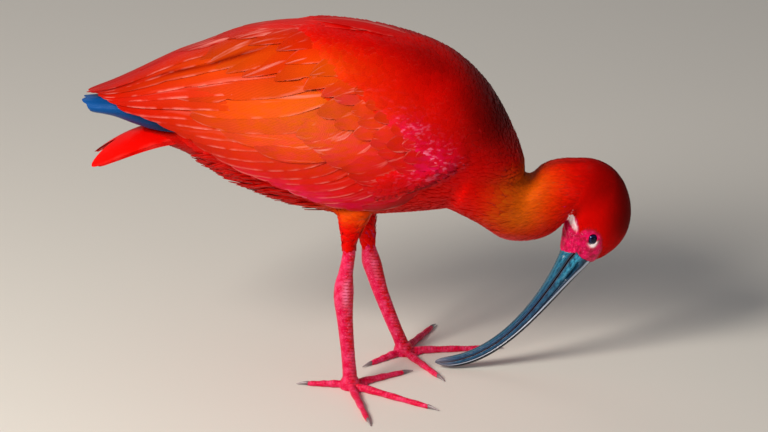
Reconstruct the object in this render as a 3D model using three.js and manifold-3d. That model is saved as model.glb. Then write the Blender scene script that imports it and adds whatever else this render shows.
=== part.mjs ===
// A scarlet ibis, life size, standing with its head down and its bill held just clear of the floor.
// Millimetres. x points forward, y to the bird's left, z up from the floor that the feet stand on.
import * as THREE from "three";
import { mergeVertices } from "three/addons/utils/BufferGeometryUtils.js";
import Module from "manifold-3d";

const wasm = await Module();
wasm.setup();

// Driving dimensions

const gap = 0.3; // left between two pieces that touch
const centring = { x: 19, y: 11.5, z: 3.4 }; // puts the middle of the bird's box over the origin, and its soles on the floor
const far = 900; // reach of the blocks that part the body

// How many flat faces run along and round each form.
const facets = {
  trunk: [20, 24],
  neckRound: 24,
  neckPerStep: 1.5,
  headPerStep: 2,
  arm: [10, 6],
  primaryBase: [3, 5],
  limbRound: 12,
  footBall: 12,
  toe: [7, 9],
  claw: [5, 7],
  lid: [6, 18],
};

// The bird's outer form from wing tips to breast: a row of upright ovals along the body.
const outer = [
  { x: -217, middle: 207, height: 3, width: 10 },
  { x: -190, middle: 205.7, height: 13.7, width: 22 },
  { x: -147, middle: 204.3, height: 36.6, width: 38 },
  { x: -130, middle: 202.5, height: 45, width: 43 },
  { x: -104, middle: 199.7, height: 57.9, width: 50 },
  { x: -68, middle: 195.9, height: 68.2, width: 57 },
  { x: -32, middle: 192.4, height: 73.3, width: 59 },
  { x: 11, middle: 188.8, height: 69.2, width: 57 },
  { x: 47, middle: 183, height: 60, width: 50 },
  { x: 76, middle: 171, height: 43.4, width: 37 },
  { x: 94, middle: 158, height: 22.5, width: 22 },
  { x: 101, middle: 151, height: 7, width: 7 },
];

// The trunk under the wings. Heights and widths are half sizes, as above.
const trunk = [
  { x: -176, middle: 180.5, height: 4, width: 10 },
  { x: -150, middle: 181.5, height: 12, width: 21 },
  { x: -130, middle: 186, height: 27, width: 30 },
  { x: -104, middle: 191.5, height: 48.5, width: 41 },
  { x: -68, middle: 194, height: 65, width: 50.5 },
  { x: -32, middle: 190.9, height: 71.4, width: 52.5 },
  { x: 11, middle: 188, height: 68.2, width: 51.5 },
  { x: 47, middle: 183, height: 59.8, width: 48 },
  { x: 76, middle: 171, height: 43.4, width: 37 },
  { x: 94, middle: 158, height: 22.5, width: 22 },
  { x: 101, middle: 151, height: 7, width: 7 },
];
const tailCut = -148; // where the tail's node starts
const neckCut = { x: 88, z: 128, lean: 50 }; // a point on the cut and its lean forward, in degrees

// Neck and head: points on the back and on the throat side, with the half width between them.
const neckAndHead = [
  { back: [66, 184], throat: [42, 126], width: 42 },
  { back: [94, 155], throat: [67, 111.5], width: 31 },
  { back: [106.5, 147.5], throat: [83, 100], width: 25.5 },
  { back: [115.5, 156], throat: [98, 97], width: 23.5 },
  { back: [126.6, 160], throat: [112, 98.8], width: 22.5 },
  { back: [139, 160.4], throat: [121.5, 104], width: 21 },
  { back: [150.5, 159.8], throat: [126.8, 110], width: 19.8 },
  { back: [163, 154], throat: [129.2, 114], width: 18.8 },
  { back: [171.8, 144], throat: [129.8, 113.4], width: 18 },
  { back: [176.8, 130.5], throat: [129.4, 111.4], width: 17.2 },
  { back: [177.8, 117], throat: [128.9, 108.4], width: 16.4 },
  { back: [175.4, 104.5], throat: [128.3, 104.4], width: 15.2 },
  { back: [169.3, 94.2], throat: [127.8, 99.6], width: 13.4 },
  { back: [160, 86], throat: [127.2, 94.4], width: 10.8 },
  { back: [150.2, 80.6], throat: [126.6, 89], width: 7.8 },
];
const neckBend = 4.5; // parts the neck from the head, counted in steps along the list above
const headStart = 8.2;

const eye = { x: 150.5, y: 11.6, z: 102.4, radius: 4.3 };
const lid = { radius: 3.5, thickness: 1.6, out: 3.1, tilt: 12 }; // tilt in degrees, the lower side inwards

// The bill's three lines, each one bend: the outer edge, the mouth and the inner edge, as [x, z].
const bill = {
  culmen: [[149.4, 80.2], [121.4, 51.8], [81.8, -10], [38.5, -1.3]],
  mouth: [[138.5, 93.2], [112.6, 50.9], [87.4, 4.1], [37.1, 1.7]],
  lowerEdge: [[127.2, 89], [114, 50.8], [79, 4.2], [36.7, 5.3]],
  width: 7.6, // half, at the face
  tipWidth: 2.4,
  steps: 16,
  // Across each half, as [share of the way from the outer edge to the mouth, share of the width].
  upperSection: [[0, 0.42], [0.12, 0.78], [0.36, 0.98], [0.46, 0.84], [0.58, 1], [1, 0.97]],
  lowerSection: [[0, 0.42], [0.12, 0.78], [0.4, 1], [1, 0.97]],
};
// place and share as on the bill, and aside as a share of its width
const nostril = { place: 0.1, share: 0.46, aside: 0.84, length: 9, height: 1.3, depth: 1.5 };
// The line of the mouth goes on into the face as a groove, from the bill to under the eye.
const gape = { from: [134.6, 7.8, 86.3], to: [139.8, 11.2, 94.8], radius: 0.6 };

// Legs, as points on their middle lines with half depth (along x) and half width (along y).
const legs = {
  r: {
    thigh: [
      { at: [-14, -17, 158], depth: 25, width: 10 },
      { at: [-18, -20.5, 138], depth: 18.5, width: 10.5 },
      { at: [-22, -28, 121], depth: 11, width: 9 },
      { at: [-24.3, -30.6, 108], depth: 6.8, width: 6.6 },
      { at: [-25, -31, 99], depth: 5.8, width: 5.6 },
    ],
    shank: [
      { at: [-25, -31, 98.7], depth: 4.9, width: 4.6 },
      { at: [-27.3, -32, 85], depth: 5.6, width: 5 },
      { at: [-28.4, -32.8, 78], depth: 6.6, width: 5.8 },
    ],
    tarsus: [
      { at: [-28.4, -32.8, 77.7], depth: 6.7, width: 5.9 },
      { at: [-28.8, -33.2, 70], depth: 7.2, width: 6.2 },
      { at: [-28.2, -33.6, 62], depth: 6.2, width: 5 },
      { at: [-27.2, -34, 48.5], depth: 5.2, width: 4.3 },
      { at: [-25.6, -35, 24], depth: 4.8, width: 4.1 },
      { at: [-24.8, -35.4, 6.6], depth: 5.6, width: 5 },
    ],
    foot: [-24.5, -35.5],
    toes: { middle: [-34, 68], outer: [-78, 63], inner: [33, 46], hind: [172, 31] },
  },
  l: {
    thigh: [
      { at: [-12, 17, 158], depth: 25, width: 10 },
      { at: [-13, 20.5, 138], depth: 17, width: 10.5 },
      { at: [-12.8, 28.2, 118], depth: 10.5, width: 9 },
      { at: [-12.4, 30, 98], depth: 7.2, width: 7 },
      { at: [-12, 30.3, 86], depth: 6, width: 5.8 },
    ],
    shank: [
      { at: [-12, 30.3, 85.7], depth: 5, width: 4.8 },
      { at: [-11, 30.6, 79], depth: 5.6, width: 5.1 },
      { at: [-10, 30.9, 73], depth: 6.6, width: 5.8 },
    ],
    tarsus: [
      { at: [-10, 30.9, 72.7], depth: 6.7, width: 5.9 },
      { at: [-8.6, 31.2, 66], depth: 7.2, width: 6.2 },
      { at: [-5.6, 31, 58], depth: 6, width: 5 },
      { at: [-1.4, 30.3, 44.5], depth: 5.1, width: 4.3 },
      { at: [7, 28.8, 21.5], depth: 4.8, width: 4.1 },
      { at: [12.6, 27.8, 6.1], depth: 5.6, width: 5 },
    ],
    foot: [14.2, 27.5],
    toes: { middle: [7, 66], outer: [66, 52], inner: [-61, 52], hind: [-138, 32] },
  },
};
const footBall = { radius: 8, height: 11 };
const toe = { radius: 3.3, tipRadius: 2.2, joints: 3, swell: 0.12, sink: 0.82 }; // sink flattens the sole
const claw = { length: 8.5, radius: 1.9, tipRadius: 0.35, narrowing: 0.8, tipHeight: 0.9 };

// Wings, in steps along x with the angle round the body in degrees: 0 is the side, 90 the back's ridge.
const wingEdge = [
  { x: -213, low: 20, high: 86 },
  { x: -190, low: 8, high: 87 },
  { x: -158, low: -14, high: 88 },
  { x: -124, low: -31, high: 88.5 },
  { x: -90, low: -38, high: 88.8 },
  { x: -58, low: -46, high: 89 },
  { x: -28, low: -54, high: 89 },
  { x: 0, low: -49, high: 82 },
  { x: 40, low: -30, high: 50 },
  { x: 58, low: -14, high: 28 },
  { x: 63, low: -4, high: 15 },
];
const wing = {
  rear: -99, // where the folded arm ends and bare vanes go on
  front: 63,
  cover: [1, 3.6], // how far the arm lies under the form's surface, below coverts and below flight feathers
  coverLine: { x: -14, lean: 1.1, from: -30, to: 15 }, // where the coverts end, leaning back per degree
  coverBlend: [-8, 12], // over which the surface sinks, along x
  thinFrom: -58, // where the arm begins to thin towards its rear end
  depth: 15, // reaches into the trunk, which is then cut away
  rearHeight: 2.2, // of the arm over the trunk at its rear end
};
// The form that the folded primaries lie on, inside the wing's.
const folded = [
  { x: -217, middle: 202, height: 4.5, width: 9 },
  { x: -190, middle: 201.5, height: 8.5, width: 15 },
  { x: -158, middle: 200.5, height: 23.5, width: 27 },
  { x: -130, middle: 198.5, height: 37.5, width: 36.5 },
  { x: -100, middle: 193.5, height: 51.4, width: 44.2 },
];

const midline = 0.4; // least distance of a wing feather from the plane between the wings
const edgeInset = 5; // degrees from the wing's lower edge up to the middle of a feather that follows it

// Rows of feathers, given for the first and the last feather of each: root and tip as [x, angle], half the
// width, and the bow, a sag in degrees. rise is the depth of root and tip under the form's surface. blunt is how
// far along a feather its tip begins to round off.
const wingRows = {
  secondaries: {
    count: 7, root: [[26, -22], [-50, 20]], tip: [[-33, -50], [-190, 17]],
    width: [6.8, 8.4], bow: [-6, -3], rise: [4.2, 1.2], blunt: 0.8, followsEdge: true,
  },
  tertials: {
    count: 4, root: [[-42, 30], [-34, 76]], tip: [[-198, 36], [-211, 78]],
    width: [8, 9.6], bow: [-3, 0], rise: [4.2, 0.4], blunt: 0.5,
  },
  innerCoverts: {
    count: 3, root: [[-22, 6], [-34, 34]], tip: [[-101, -3], [-150, 27]],
    width: [9, 10], bow: [-4, -2], rise: [3.4, 0.2], blunt: 0.7, short: true,
  },
  greaterCoverts: {
    count: 6, root: [[32, -16], [-26, 10]], tip: [[2, -28], [-62, 1]],
    width: [6, 6.6], bow: [-2, -2], rise: [2.8, 0], blunt: 0.6, short: true,
  },
  medianCoverts: {
    count: 5, root: [[36, -4], [-20, 22]], tip: [[8, -14], [-53, 14]],
    width: [6, 6.2], bow: [-2, -2], rise: [2.6, -0.6], blunt: 0.6, short: true,
  },
  scapulars: {
    count: 5, root: [[-26, 80], [24, 50]], tip: [[-121, 56], [-26, 24]],
    width: [8.2, 7.4], bow: [6, 3], rise: [2.9, -0.3], blunt: 0.4, short: true,
  },
};
const primaryRow = {
  count: 3, root: [[-104, -14], [-104, 22]], tip: [[-216, -40], [-202, 40]],
  width: [8, 8], bow: [0, 0], rise: [1.2, 0], blunt: 0.75,
};
const primaryBase = { front: -99.3, rear: -112, low: -24, high: 32, thickness: 1.9 };
const vane = {
  thickness: 0.75,
  rim: 0.5,
  tilt: 1.1, // how much lower its upper edge lies than its middle, and how much higher its lower edge
  rootShare: 0.45, // of the full width, widening by the next value over the whole length
  widening: 2.2,
  tipShare: 0.1,
  stations: [0, 0.42, 0.78, 0.95, 1],
  shortStations: [0, 0.5, 0.9, 1],
};

const tail = {
  feathers: 10,
  root: -148.6,
  reach: -207,
  ridge: 187, // height of the middle feathers at the root
  fall: 20, // drop of the tips below that
  drop: 4, // of the outer edges below the middle
  halfWidth: 26,
  featherWidth: 8.5,
  blunt: 0.78,
  layer: 0.85, // each feather lies this much under the one before it
  rootAside: [1, 9], // how far from the middle the first and the last pair start and end
  tipAside: [4, 19],
  shortening: 7, // of the outer pair
};

// Materials

function finish(colour, roughness) {
  return new THREE.MeshStandardMaterial({ color: colour, roughness, metalness: 0 });
}
const plumage = finish(0xd81408, 0.62);
const wingFeather = finish(0xe23a0c, 0.5);
const primaryFeather = finish(0x12375e, 0.42);
const tailFeather = finish(0xe01406, 0.5);
const billHorn = finish(0x3c7c92, 0.35);
const eyeDark = finish(0x140a10, 0.08);
const legSkin = finish(0xd8143c, 0.45);
const clawHorn = finish(0x6f6a70, 0.4);

// Making solids

// One value of a station list at x, on a smooth line through its rows.
function valueAt(list, x, key) {
  const last = list.length - 1;
  const inside = THREE.MathUtils.clamp(x, list[0].x, list[last].x);
  let i = 0;
  while (i < last - 1 && list[i + 1].x < inside) i++;
  const slope = (k) => {
    const a = list[Math.max(k - 1, 0)];
    const b = list[Math.min(k + 1, last)];
    return (b[key] - a[key]) / (b.x - a.x);
  };
  const span = list[i + 1].x - list[i].x;
  const t = (inside - list[i].x) / span;
  const curve = (2 * t ** 3 - 3 * t ** 2 + 1) * list[i][key] + (3 * t ** 2 - 2 * t ** 3) * list[i + 1][key];
  return curve + span * ((t ** 3 - 2 * t ** 2 + t) * slope(i) + (t ** 3 - t ** 2) * slope(i + 1));
}

// A closed skin over rings of points. A thin one has its two faces split into triangles alike.
function skinOver(rings, thin = false) {
  const count = rings[0].length;
  const points = rings.flat();
  const index = [];
  for (let i = 0; i + 1 < rings.length; i++) {
    for (let j = 0; j < count; j++) {
      const next = (j + 1) % count;
      const [a, b] = [i * count + j, i * count + next];
      const [c, d] = [b + count, a + count];
      index.push(...(thin && j >= count / 2 ? [a, b, d, b, c, d] : [a, b, c, a, c, d]));
    }
  }
  for (const [start, turned] of [[0, true], [(rings.length - 1) * count, false]]) {
    const cap = (a, b, c) => {
      index.push(...(turned ? [a, c, b] : [a, b, c]).map((corner) => start + corner));
    };
    for (let j = 0; j + 1 < count / 2; j++) {
      const back = count - 1 - j;
      cap(j, j + 1, back);
      cap(j + 1, back - 1, back);
    }
  }
  const geometry = new THREE.BufferGeometry().setFromPoints(points);
  geometry.setIndex(index);
  return geometry;
}

function solidOf(geometry) {
  const bare = geometry.clone();
  bare.deleteAttribute("normal");
  bare.deleteAttribute("uv");
  const merged = mergeVertices(bare, 1e-4);
  const vertProperties = new Float32Array(merged.attributes.position.array);
  const triVerts = new Uint32Array(merged.index.array);
  const made = new wasm.Manifold(new wasm.Mesh({ numProp: 3, vertProperties, triVerts }));
  if (made.volume() > 0) return made;
  const outward = triVerts.map((v, i) => triVerts[i % 3 === 0 ? i : i % 3 === 1 ? i + 1 : i - 1]);
  return new wasm.Manifold(new wasm.Mesh({ numProp: 3, vertProperties, triVerts: outward }));
}

// Keeps the largest closed surface, which drops scraps and fills sealed hollows.
function largest(solid) {
  return solid.decompose().reduce((best, next) => (next.volume() > best.volume() ? next : best));
}

function meshOf(name, solid, material) {
  const { numProp, vertProperties, triVerts } = largest(solid).getMesh();
  const geometry = new THREE.BufferGeometry();
  geometry.setAttribute("position", new THREE.BufferAttribute(vertProperties, numProp));
  geometry.setIndex(new THREE.BufferAttribute(triVerts, 1));
  geometry.computeVertexNormals();
  const mesh = new THREE.Mesh(geometry, material);
  mesh.name = name;
  return mesh;
}

// A point on a form made of upright ovals, at x and an angle round it, grown outwards by some millimetres.
// side is -1 for the bird's right and 1 for its left.
function onForm(form, x, angle, grown, side) {
  const turn = THREE.MathUtils.degToRad(angle);
  const width = valueAt(form, x, "width") + grown;
  const height = valueAt(form, x, "height") + grown;
  const middle = valueAt(form, x, "middle");
  return new THREE.Vector3(x, side * width * Math.cos(turn), middle + height * Math.sin(turn));
}

function spread(from, to, steps) {
  return Array.from({ length: steps + 1 }, (_, i) => from + ((to - from) * i) / steps);
}

// The half of space on one side of a plane, as a block.
function halfSpace(point, normal) {
  const block = new THREE.BoxGeometry(far, far, far);
  block.translate(0, 0, far / 2);
  block.applyQuaternion(new THREE.Quaternion().setFromUnitVectors(new THREE.Vector3(0, 0, 1), normal));
  return solidOf(block.translate(point.x, point.y, point.z));
}

// Parts a solid at a plane: the piece before it and the piece past it, with the gap between them.
function part(solid, point, normal) {
  const past = point.clone().addScaledVector(normal, gap / 2);
  const before = point.clone().addScaledVector(normal, -gap / 2);
  const kept = solid.intersect(halfSpace(before, normal.clone().negate()));
  return [kept, solid.intersect(halfSpace(past, normal))];
}

// Trunk

function trunkSolid(grown) {
  const stations = spread(trunk[0].x, trunk[trunk.length - 1].x, facets.trunk[0]);
  const angles = spread(0, 360, facets.trunk[1]).slice(0, -1);
  return solidOf(skinOver(stations.map((x) => angles.map((angle) => onForm(trunk, x, angle, grown, 1)))));
}

// Neck and head

// The ring of points round the neck or head at a step of its list, which may be a fraction.
function neckRing(step) {
  const i = Math.min(Math.floor(step), neckAndHead.length - 2);
  const last = neckAndHead.length - 1;
  const rows = [i - 1, i, i + 1, i + 2].map((k) => neckAndHead[THREE.MathUtils.clamp(k, 0, last)]);
  const t = step - i;
  const blend = (read) => {
    const [a, b, c, d] = rows.map(read);
    return b + 0.5 * t * (c - a + t * (2 * a - 5 * b + 4 * c - d + t * (3 * (b - c) + d - a)));
  };
  const back = new THREE.Vector3(blend((r) => r.back[0]), 0, blend((r) => r.back[1]));
  const throat = new THREE.Vector3(blend((r) => r.throat[0]), 0, blend((r) => r.throat[1]));
  const width = blend((r) => r.width);
  const middle = back.clone().add(throat).multiplyScalar(0.5);
  const up = back.clone().sub(middle);
  return spread(0, 2 * Math.PI, facets.neckRound).slice(0, -1).map((turn) => {
    const point = middle.clone().addScaledVector(up, Math.cos(turn));
    point.y = width * Math.sin(turn);
    return point;
  });
}

function neckSolid(from, to, perStep) {
  const steps = spread(from, to, Math.round((to - from) * perStep));
  return solidOf(skinOver(steps.map(neckRing)));
}

// The plane of a neck ring, as a point and a normal towards the bill.
function neckPlane(step) {
  const ring = neckRing(step);
  const middle = ring[0].clone().add(ring[ring.length / 2]).multiplyScalar(0.5);
  const across = ring[0].clone().sub(middle).normalize();
  return [middle, new THREE.Vector3(across.z, 0, -across.x)];
}

// Eyes

function eyeball(side, grown) {
  const ball = new THREE.IcosahedronGeometry(eye.radius + grown, 2);
  return solidOf(ball.translate(eye.x, side * eye.y, eye.z));
}

// The head with a raised lid round each eye and a socket that holds the eyeball.
function withEyeSockets(skull) {
  let made = skull;
  for (const side of [-1, 1]) {
    const ring = new THREE.TorusGeometry(lid.radius, lid.thickness / 2, ...facets.lid);
    ring.rotateX(Math.PI / 2 - side * THREE.MathUtils.degToRad(lid.tilt));
    ring.translate(eye.x, side * (eye.y + lid.out), eye.z);
    made = made.add(solidOf(ring)).subtract(eyeball(side, gap));
  }
  return made;
}

function withGape(skull) {
  let made = skull;
  for (const side of [-1, 1]) {
    const [from, to] = [gape.from, gape.to].map(([x, y, z]) => new THREE.Vector3(x, side * y, z));
    const groove = new THREE.CapsuleGeometry(gape.radius, from.distanceTo(to), 3, 8);
    const heading = to.clone().sub(from).normalize();
    groove.applyQuaternion(new THREE.Quaternion().setFromUnitVectors(new THREE.Vector3(0, 1, 0), heading));
    const middle = from.add(to).multiplyScalar(0.5);
    made = made.subtract(solidOf(groove.translate(middle.x, middle.y, middle.z)));
  }
  return made;
}

// Bill

function bend(points) {
  return new THREE.CubicBezierCurve(...points.map(([x, z]) => new THREE.Vector2(x, z)));
}

// A place on one half of the bill: t along it, and a share of the way from its outer edge to its mouth edge,
// which is held half a gap off the mouth line.
function onBill(edge, t, share) {
  const rim = bend(edge).getPoint(t);
  const mouth = bend(bill.mouth).getPoint(t);
  mouth.addScaledVector(mouth.clone().sub(rim).normalize(), -gap / 2);
  return rim.lerp(mouth, share);
}

function billWidth(t) {
  return THREE.MathUtils.lerp(bill.width, bill.tipWidth, Math.pow(t, 0.8));
}

function mandible(edge, section) {
  const rings = spread(0, 1, bill.steps).map((t) => {
    const side = (sign) => section.map(([share, wide]) => {
      const place = onBill(edge, t, share);
      return new THREE.Vector3(place.x, sign * wide * billWidth(t), place.y);
    });
    return [...side(1), ...side(-1).reverse()];
  });
  return solidOf(skinOver(rings));
}

// The upper half with a slit on each side for the nostril, in the groove near the face.
function withNostrils(upper) {
  const place = onBill(bill.culmen, nostril.place, nostril.share);
  const along = onBill(bill.culmen, nostril.place + 0.02, nostril.share).sub(place);
  let made = upper;
  for (const side of [-1, 1]) {
    const slit = new THREE.SphereGeometry(0.5, 10, 6);
    slit.scale(nostril.length, 2 * nostril.depth, nostril.height);
    slit.rotateY(-along.angle());
    slit.translate(place.x, side * nostril.aside * billWidth(nostril.place), place.y);
    made = made.subtract(solidOf(slit));
  }
  return made;
}

// Legs and feet

function limb(points) {
  const line = new THREE.CatmullRomCurve3(points.map((p) => new THREE.Vector3(...p.at)));
  const steps = spread(0, points.length - 1, (points.length - 1) * 2);
  const rings = steps.map((step) => {
    const t = step / (points.length - 1);
    const centre = line.getPoint(t);
    const i = Math.min(Math.floor(step), points.length - 2);
    const share = step - i;
    const depth = THREE.MathUtils.lerp(points[i].depth, points[i + 1].depth, share);
    const width = THREE.MathUtils.lerp(points[i].width, points[i + 1].width, share);
    return spread(0, 2 * Math.PI, facets.limbRound).slice(0, -1).map((turn) => {
      const offset = new THREE.Vector3(depth * Math.cos(turn), width * Math.sin(turn), 0);
      return offset.add(centre);
    });
  });
  return solidOf(skinOver(rings));
}

// The ball of the foot: a low dome with a flat sole.
function footBallSolid(centre) {
  const { radius, height } = footBall;
  const profile = [
    [0, 0],
    [radius * 0.8, 0],
    [radius, 1.6],
    [radius, height * 0.5],
    [radius * 0.82, height * 0.82],
    [radius * 0.45, height],
    [0, height],
  ].map(([r, z]) => new THREE.Vector2(r, z));
  const dome = new THREE.LatheGeometry(profile, facets.footBall);
  dome.rotateX(Math.PI / 2);
  return solidOf(dome.translate(centre[0], centre[1], -centring.z));
}

// A toe along x from the ball of the foot, with its soft joints and a flat sole on the floor.
function toeGeometry(length) {
  const rings = spread(0, 1, facets.toe[0]).map((t) => {
    const taper = THREE.MathUtils.lerp(toe.radius, toe.tipRadius, t);
    const radius = taper * (1 - toe.swell * Math.cos(2 * Math.PI * toe.joints * t));
    const centre = taper * toe.sink;
    return spread(0, 2 * Math.PI, facets.toe[1]).slice(0, -1).map((turn) => {
      const height = Math.max(0, centre + radius * Math.sin(turn));
      return new THREE.Vector3(length * t, radius * Math.cos(turn), height);
    });
  });
  return skinOver(rings);
}

function clawGeometry() {
  const rings = spread(0, 1, facets.claw[0]).map((t) => {
    const radius = THREE.MathUtils.lerp(claw.radius, claw.tipRadius, t);
    const width = radius * claw.narrowing;
    const centre = THREE.MathUtils.lerp(toe.tipRadius, claw.tipHeight, t * t);
    return spread(0, 2 * Math.PI, facets.claw[1]).slice(0, -1).map(
      (turn) => new THREE.Vector3(claw.length * t, width * Math.cos(turn), centre + radius * Math.sin(turn)),
    );
  });
  return skinOver(rings);
}

// Feathers

function mix(pair, t) {
  return THREE.MathUtils.lerp(pair[0], pair[1], t);
}

// The width of a feather at t along it, as a share of the full one: narrow at the root, rounded at the tip.
function featherShare(t, blunt) {
  const share = Math.min(1, vane.rootShare + vane.widening * t);
  if (t <= blunt) return share;
  const past = (t - blunt) / (1 - blunt);
  return Math.max(vane.tipShare, share * Math.sqrt(1 - past * past));
}

// One vane laid over a form. It starts under the surface at its root, rises to its tip, and is tilted like a
// roof tile, so that its upper edge lies under the next feather.
function formVane(form, side, shape) {
  const centre = (t) => [
    mix([shape.root[0], shape.tip[0]], t),
    mix([shape.root[1], shape.tip[1]], t) + 4 * shape.bow * t * (1 - t),
  ];
  const stations = shape.short ? vane.shortStations : vane.stations;
  const rings = stations.map((t) => {
    const [x, angle] = centre(t);
    const depth = mix(shape.rise, t);
    const place = (atX, atAngle, under) => {
      const point = onForm(form, atX, atAngle, -under, side);
      point.y = side * Math.max(midline, side * point.y);
      return point;
    };
    const [nextX, nextAngle] = centre(t + 0.01);
    const here = onForm(form, x, angle, 0, 1);
    const alongX = onForm(form, x + 1, angle, 0, 1).sub(here);
    const alongAngle = onForm(form, x, angle + 1, 0, 1).sub(here);
    const heading = onForm(form, nextX, nextAngle, 0, 1).sub(here).normalize();
    const across = heading.clone().cross(alongX.clone().cross(alongAngle)).normalize();
    const half = shape.width * featherShare(t, shape.blunt);
    const shiftX = (half * across.dot(alongX)) / alongX.lengthSq();
    const shiftAngle = (half * across.dot(alongAngle)) / alongAngle.lengthSq();
    const up = shiftAngle > 0 ? 1 : -1;
    const row = [-up, 0, up].map((s) => ({ s, x: x + s * shiftX, angle: angle + s * shiftAngle }));
    const tilt = vane.tilt * Math.min(1, half / shape.width + 0.2);
    const lift = (s) => depth + (s === 0 ? 0 : s * up * tilt);
    const top = row.map((r) => place(r.x, r.angle, lift(r.s)));
    const under = row.map((r) => place(r.x, r.angle, lift(r.s) + (r.s === 0 ? vane.thickness : vane.rim)));
    return [...top, ...under.reverse()];
  });
  return solidOf(skinOver(rings, true));
}

// Every feather of a row, from the first to the last.
function featherRow(form, side, row) {
  return spread(0, 1, row.count - 1).map((t) => {
    const tip = [mix([row.tip[0][0], row.tip[1][0]], t), mix([row.tip[0][1], row.tip[1][1]], t)];
    if (row.followsEdge) tip[1] = valueAt(wingEdge, tip[0], "low") + edgeInset;
    return formVane(form, side, {
      root: [mix([row.root[0][0], row.root[1][0]], t), mix([row.root[0][1], row.root[1][1]], t)],
      tip,
      width: mix(row.width, t),
      bow: mix(row.bow, t),
      rise: row.rise,
      blunt: row.blunt,
      short: row.short,
    });
  });
}

function joined(solids) {
  return solids.reduce((all, next) => all.add(next));
}

// Wings and tail

// The folded arm: a shell over the trunk, sunk under the feathers that cover it and thin at its rear end.
function foldedArm(side) {
  const { x: lineStart, lean: lineLean, from, to } = wing.coverLine;
  const rings = spread(wing.rear, wing.front, facets.arm[0]).map((x) => {
    const angles = spread(valueAt(wingEdge, x, "low"), valueAt(wingEdge, x, "high"), facets.arm[1]);
    const thinning = THREE.MathUtils.smoothstep(-x, -wing.thinFrom, -wing.rear);
    const top = angles.map((angle) => {
      const line = lineStart - lineLean * (Math.min(angle, to) - from);
      const bare = THREE.MathUtils.smoothstep(line - x, ...wing.coverBlend);
      const skin = onForm(outer, x, angle, -mix(wing.cover, bare), side);
      return skin.lerp(onForm(trunk, x, angle, wing.rearHeight, side), thinning);
    });
    const under = angles.map((angle) => onForm(outer, x, angle, -wing.depth, side));
    return [...top, ...under.reverse()];
  });
  return solidOf(skinOver(rings, true));
}

function wingSolid(side, trunkGrown) {
  const vanes = Object.values(wingRows).flatMap((row) => featherRow(outer, side, row));
  return joined([foldedArm(side), ...vanes]).subtract(trunkGrown);
}

function primariesSolid(side, trunkGrown) {
  const { front, rear, low, high, thickness } = primaryBase;
  const base = spread(rear, front, facets.primaryBase[0]).map((x) => {
    const angles = spread(low, high, facets.primaryBase[1]);
    const top = angles.map((angle) => onForm(folded, x, angle, 0, side));
    const under = angles.map((angle) => onForm(folded, x, angle, -thickness, side));
    return [...top, ...under.reverse()];
  });
  const vanes = featherRow(folded, side, primaryRow);
  return joined([solidOf(skinOver(base, true)), ...vanes]).subtract(trunkGrown);
}

// The tail feathers, with the middle pair on top and the others under them in turn.
function tailFeathers() {
  const surface = (x, y) => {
    const t = (tail.root - x) / (tail.root - tail.reach);
    return tail.ridge - tail.fall * t * t - tail.drop * (y / tail.halfWidth) ** 2;
  };
  return Array.from({ length: tail.feathers }, (_, k) => {
    const side = k % 2 ? -1 : 1;
    const rank = Math.floor(k / 2) / (tail.feathers / 2 - 1);
    const reach = tail.reach + tail.shortening * rank * rank;
    const rings = vane.stations.map((t) => {
      const x = mix([tail.root, reach], t);
      const y = side * mix([mix(tail.rootAside, rank), mix(tail.tipAside, rank)], t);
      const half = tail.featherWidth * featherShare(t, tail.blunt);
      const across = [y - half, y, y + half];
      const top = across.map((atY) => new THREE.Vector3(x, atY, surface(x, atY) - tail.layer * k));
      const under = top.map((point, i) => {
        const thickness = i === 1 ? vane.thickness : vane.rim;
        return new THREE.Vector3(point.x, point.y, point.z - thickness);
      });
      return [...top, ...under.reverse()];
    });
    return solidOf(skinOver(rings, true));
  });
}

// Assembly

const ibis = new THREE.Group();
ibis.position.set(centring.x, centring.y, centring.z);

const trunkWhole = trunkSolid(0);
const trunkGrown = trunkSolid(gap + 0.05);
const forward = new THREE.Vector3(1, 0, 0);
const lean = THREE.MathUtils.degToRad(neckCut.lean);
const neckCutNormal = new THREE.Vector3(Math.cos(lean), 0, -Math.sin(lean));
const fleshWhole = trunkWhole.add(neckSolid(0, headStart + 1, facets.neckPerStep));
const [tailStub, bodyAhead] = part(fleshWhole, new THREE.Vector3(tailCut, 0, 0), forward);
const [torso, neckAhead] = part(bodyAhead, new THREE.Vector3(neckCut.x, 0, neckCut.z), neckCutNormal);
ibis.add(meshOf("torso", torso, plumage));
const [neckLower, neckUpperAhead] = part(neckAhead, ...neckPlane(neckBend));
const [neckUpper] = part(neckUpperAhead, ...neckPlane(headStart));
ibis.add(meshOf("neck_lower", neckLower, plumage));
ibis.add(meshOf("neck_upper", neckUpper, plumage));

const headAndFace = neckSolid(headStart - 0.4, neckAndHead.length - 1, facets.headPerStep);
const facePlane = neckPlane(neckAndHead.length - 1.02);
const skull = part(part(headAndFace, ...neckPlane(headStart))[1], ...facePlane)[0];
ibis.add(meshOf("head", withGape(withEyeSockets(skull)), plumage));
for (const [key, side] of [["r", -1], ["l", 1]]) {
  ibis.add(meshOf("eye_" + key, eyeball(side, 0), eyeDark));
}
const billUpper = part(mandible(bill.culmen, bill.upperSection), ...facePlane)[1];
const billLower = part(mandible(bill.lowerEdge, bill.lowerSection), ...facePlane)[1];
ibis.add(meshOf("bill_upper", withNostrils(billUpper), billHorn));
ibis.add(meshOf("bill_lower", billLower, billHorn));
ibis.add(meshOf("tail", joined([tailStub, ...tailFeathers()]), tailFeather));

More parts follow.
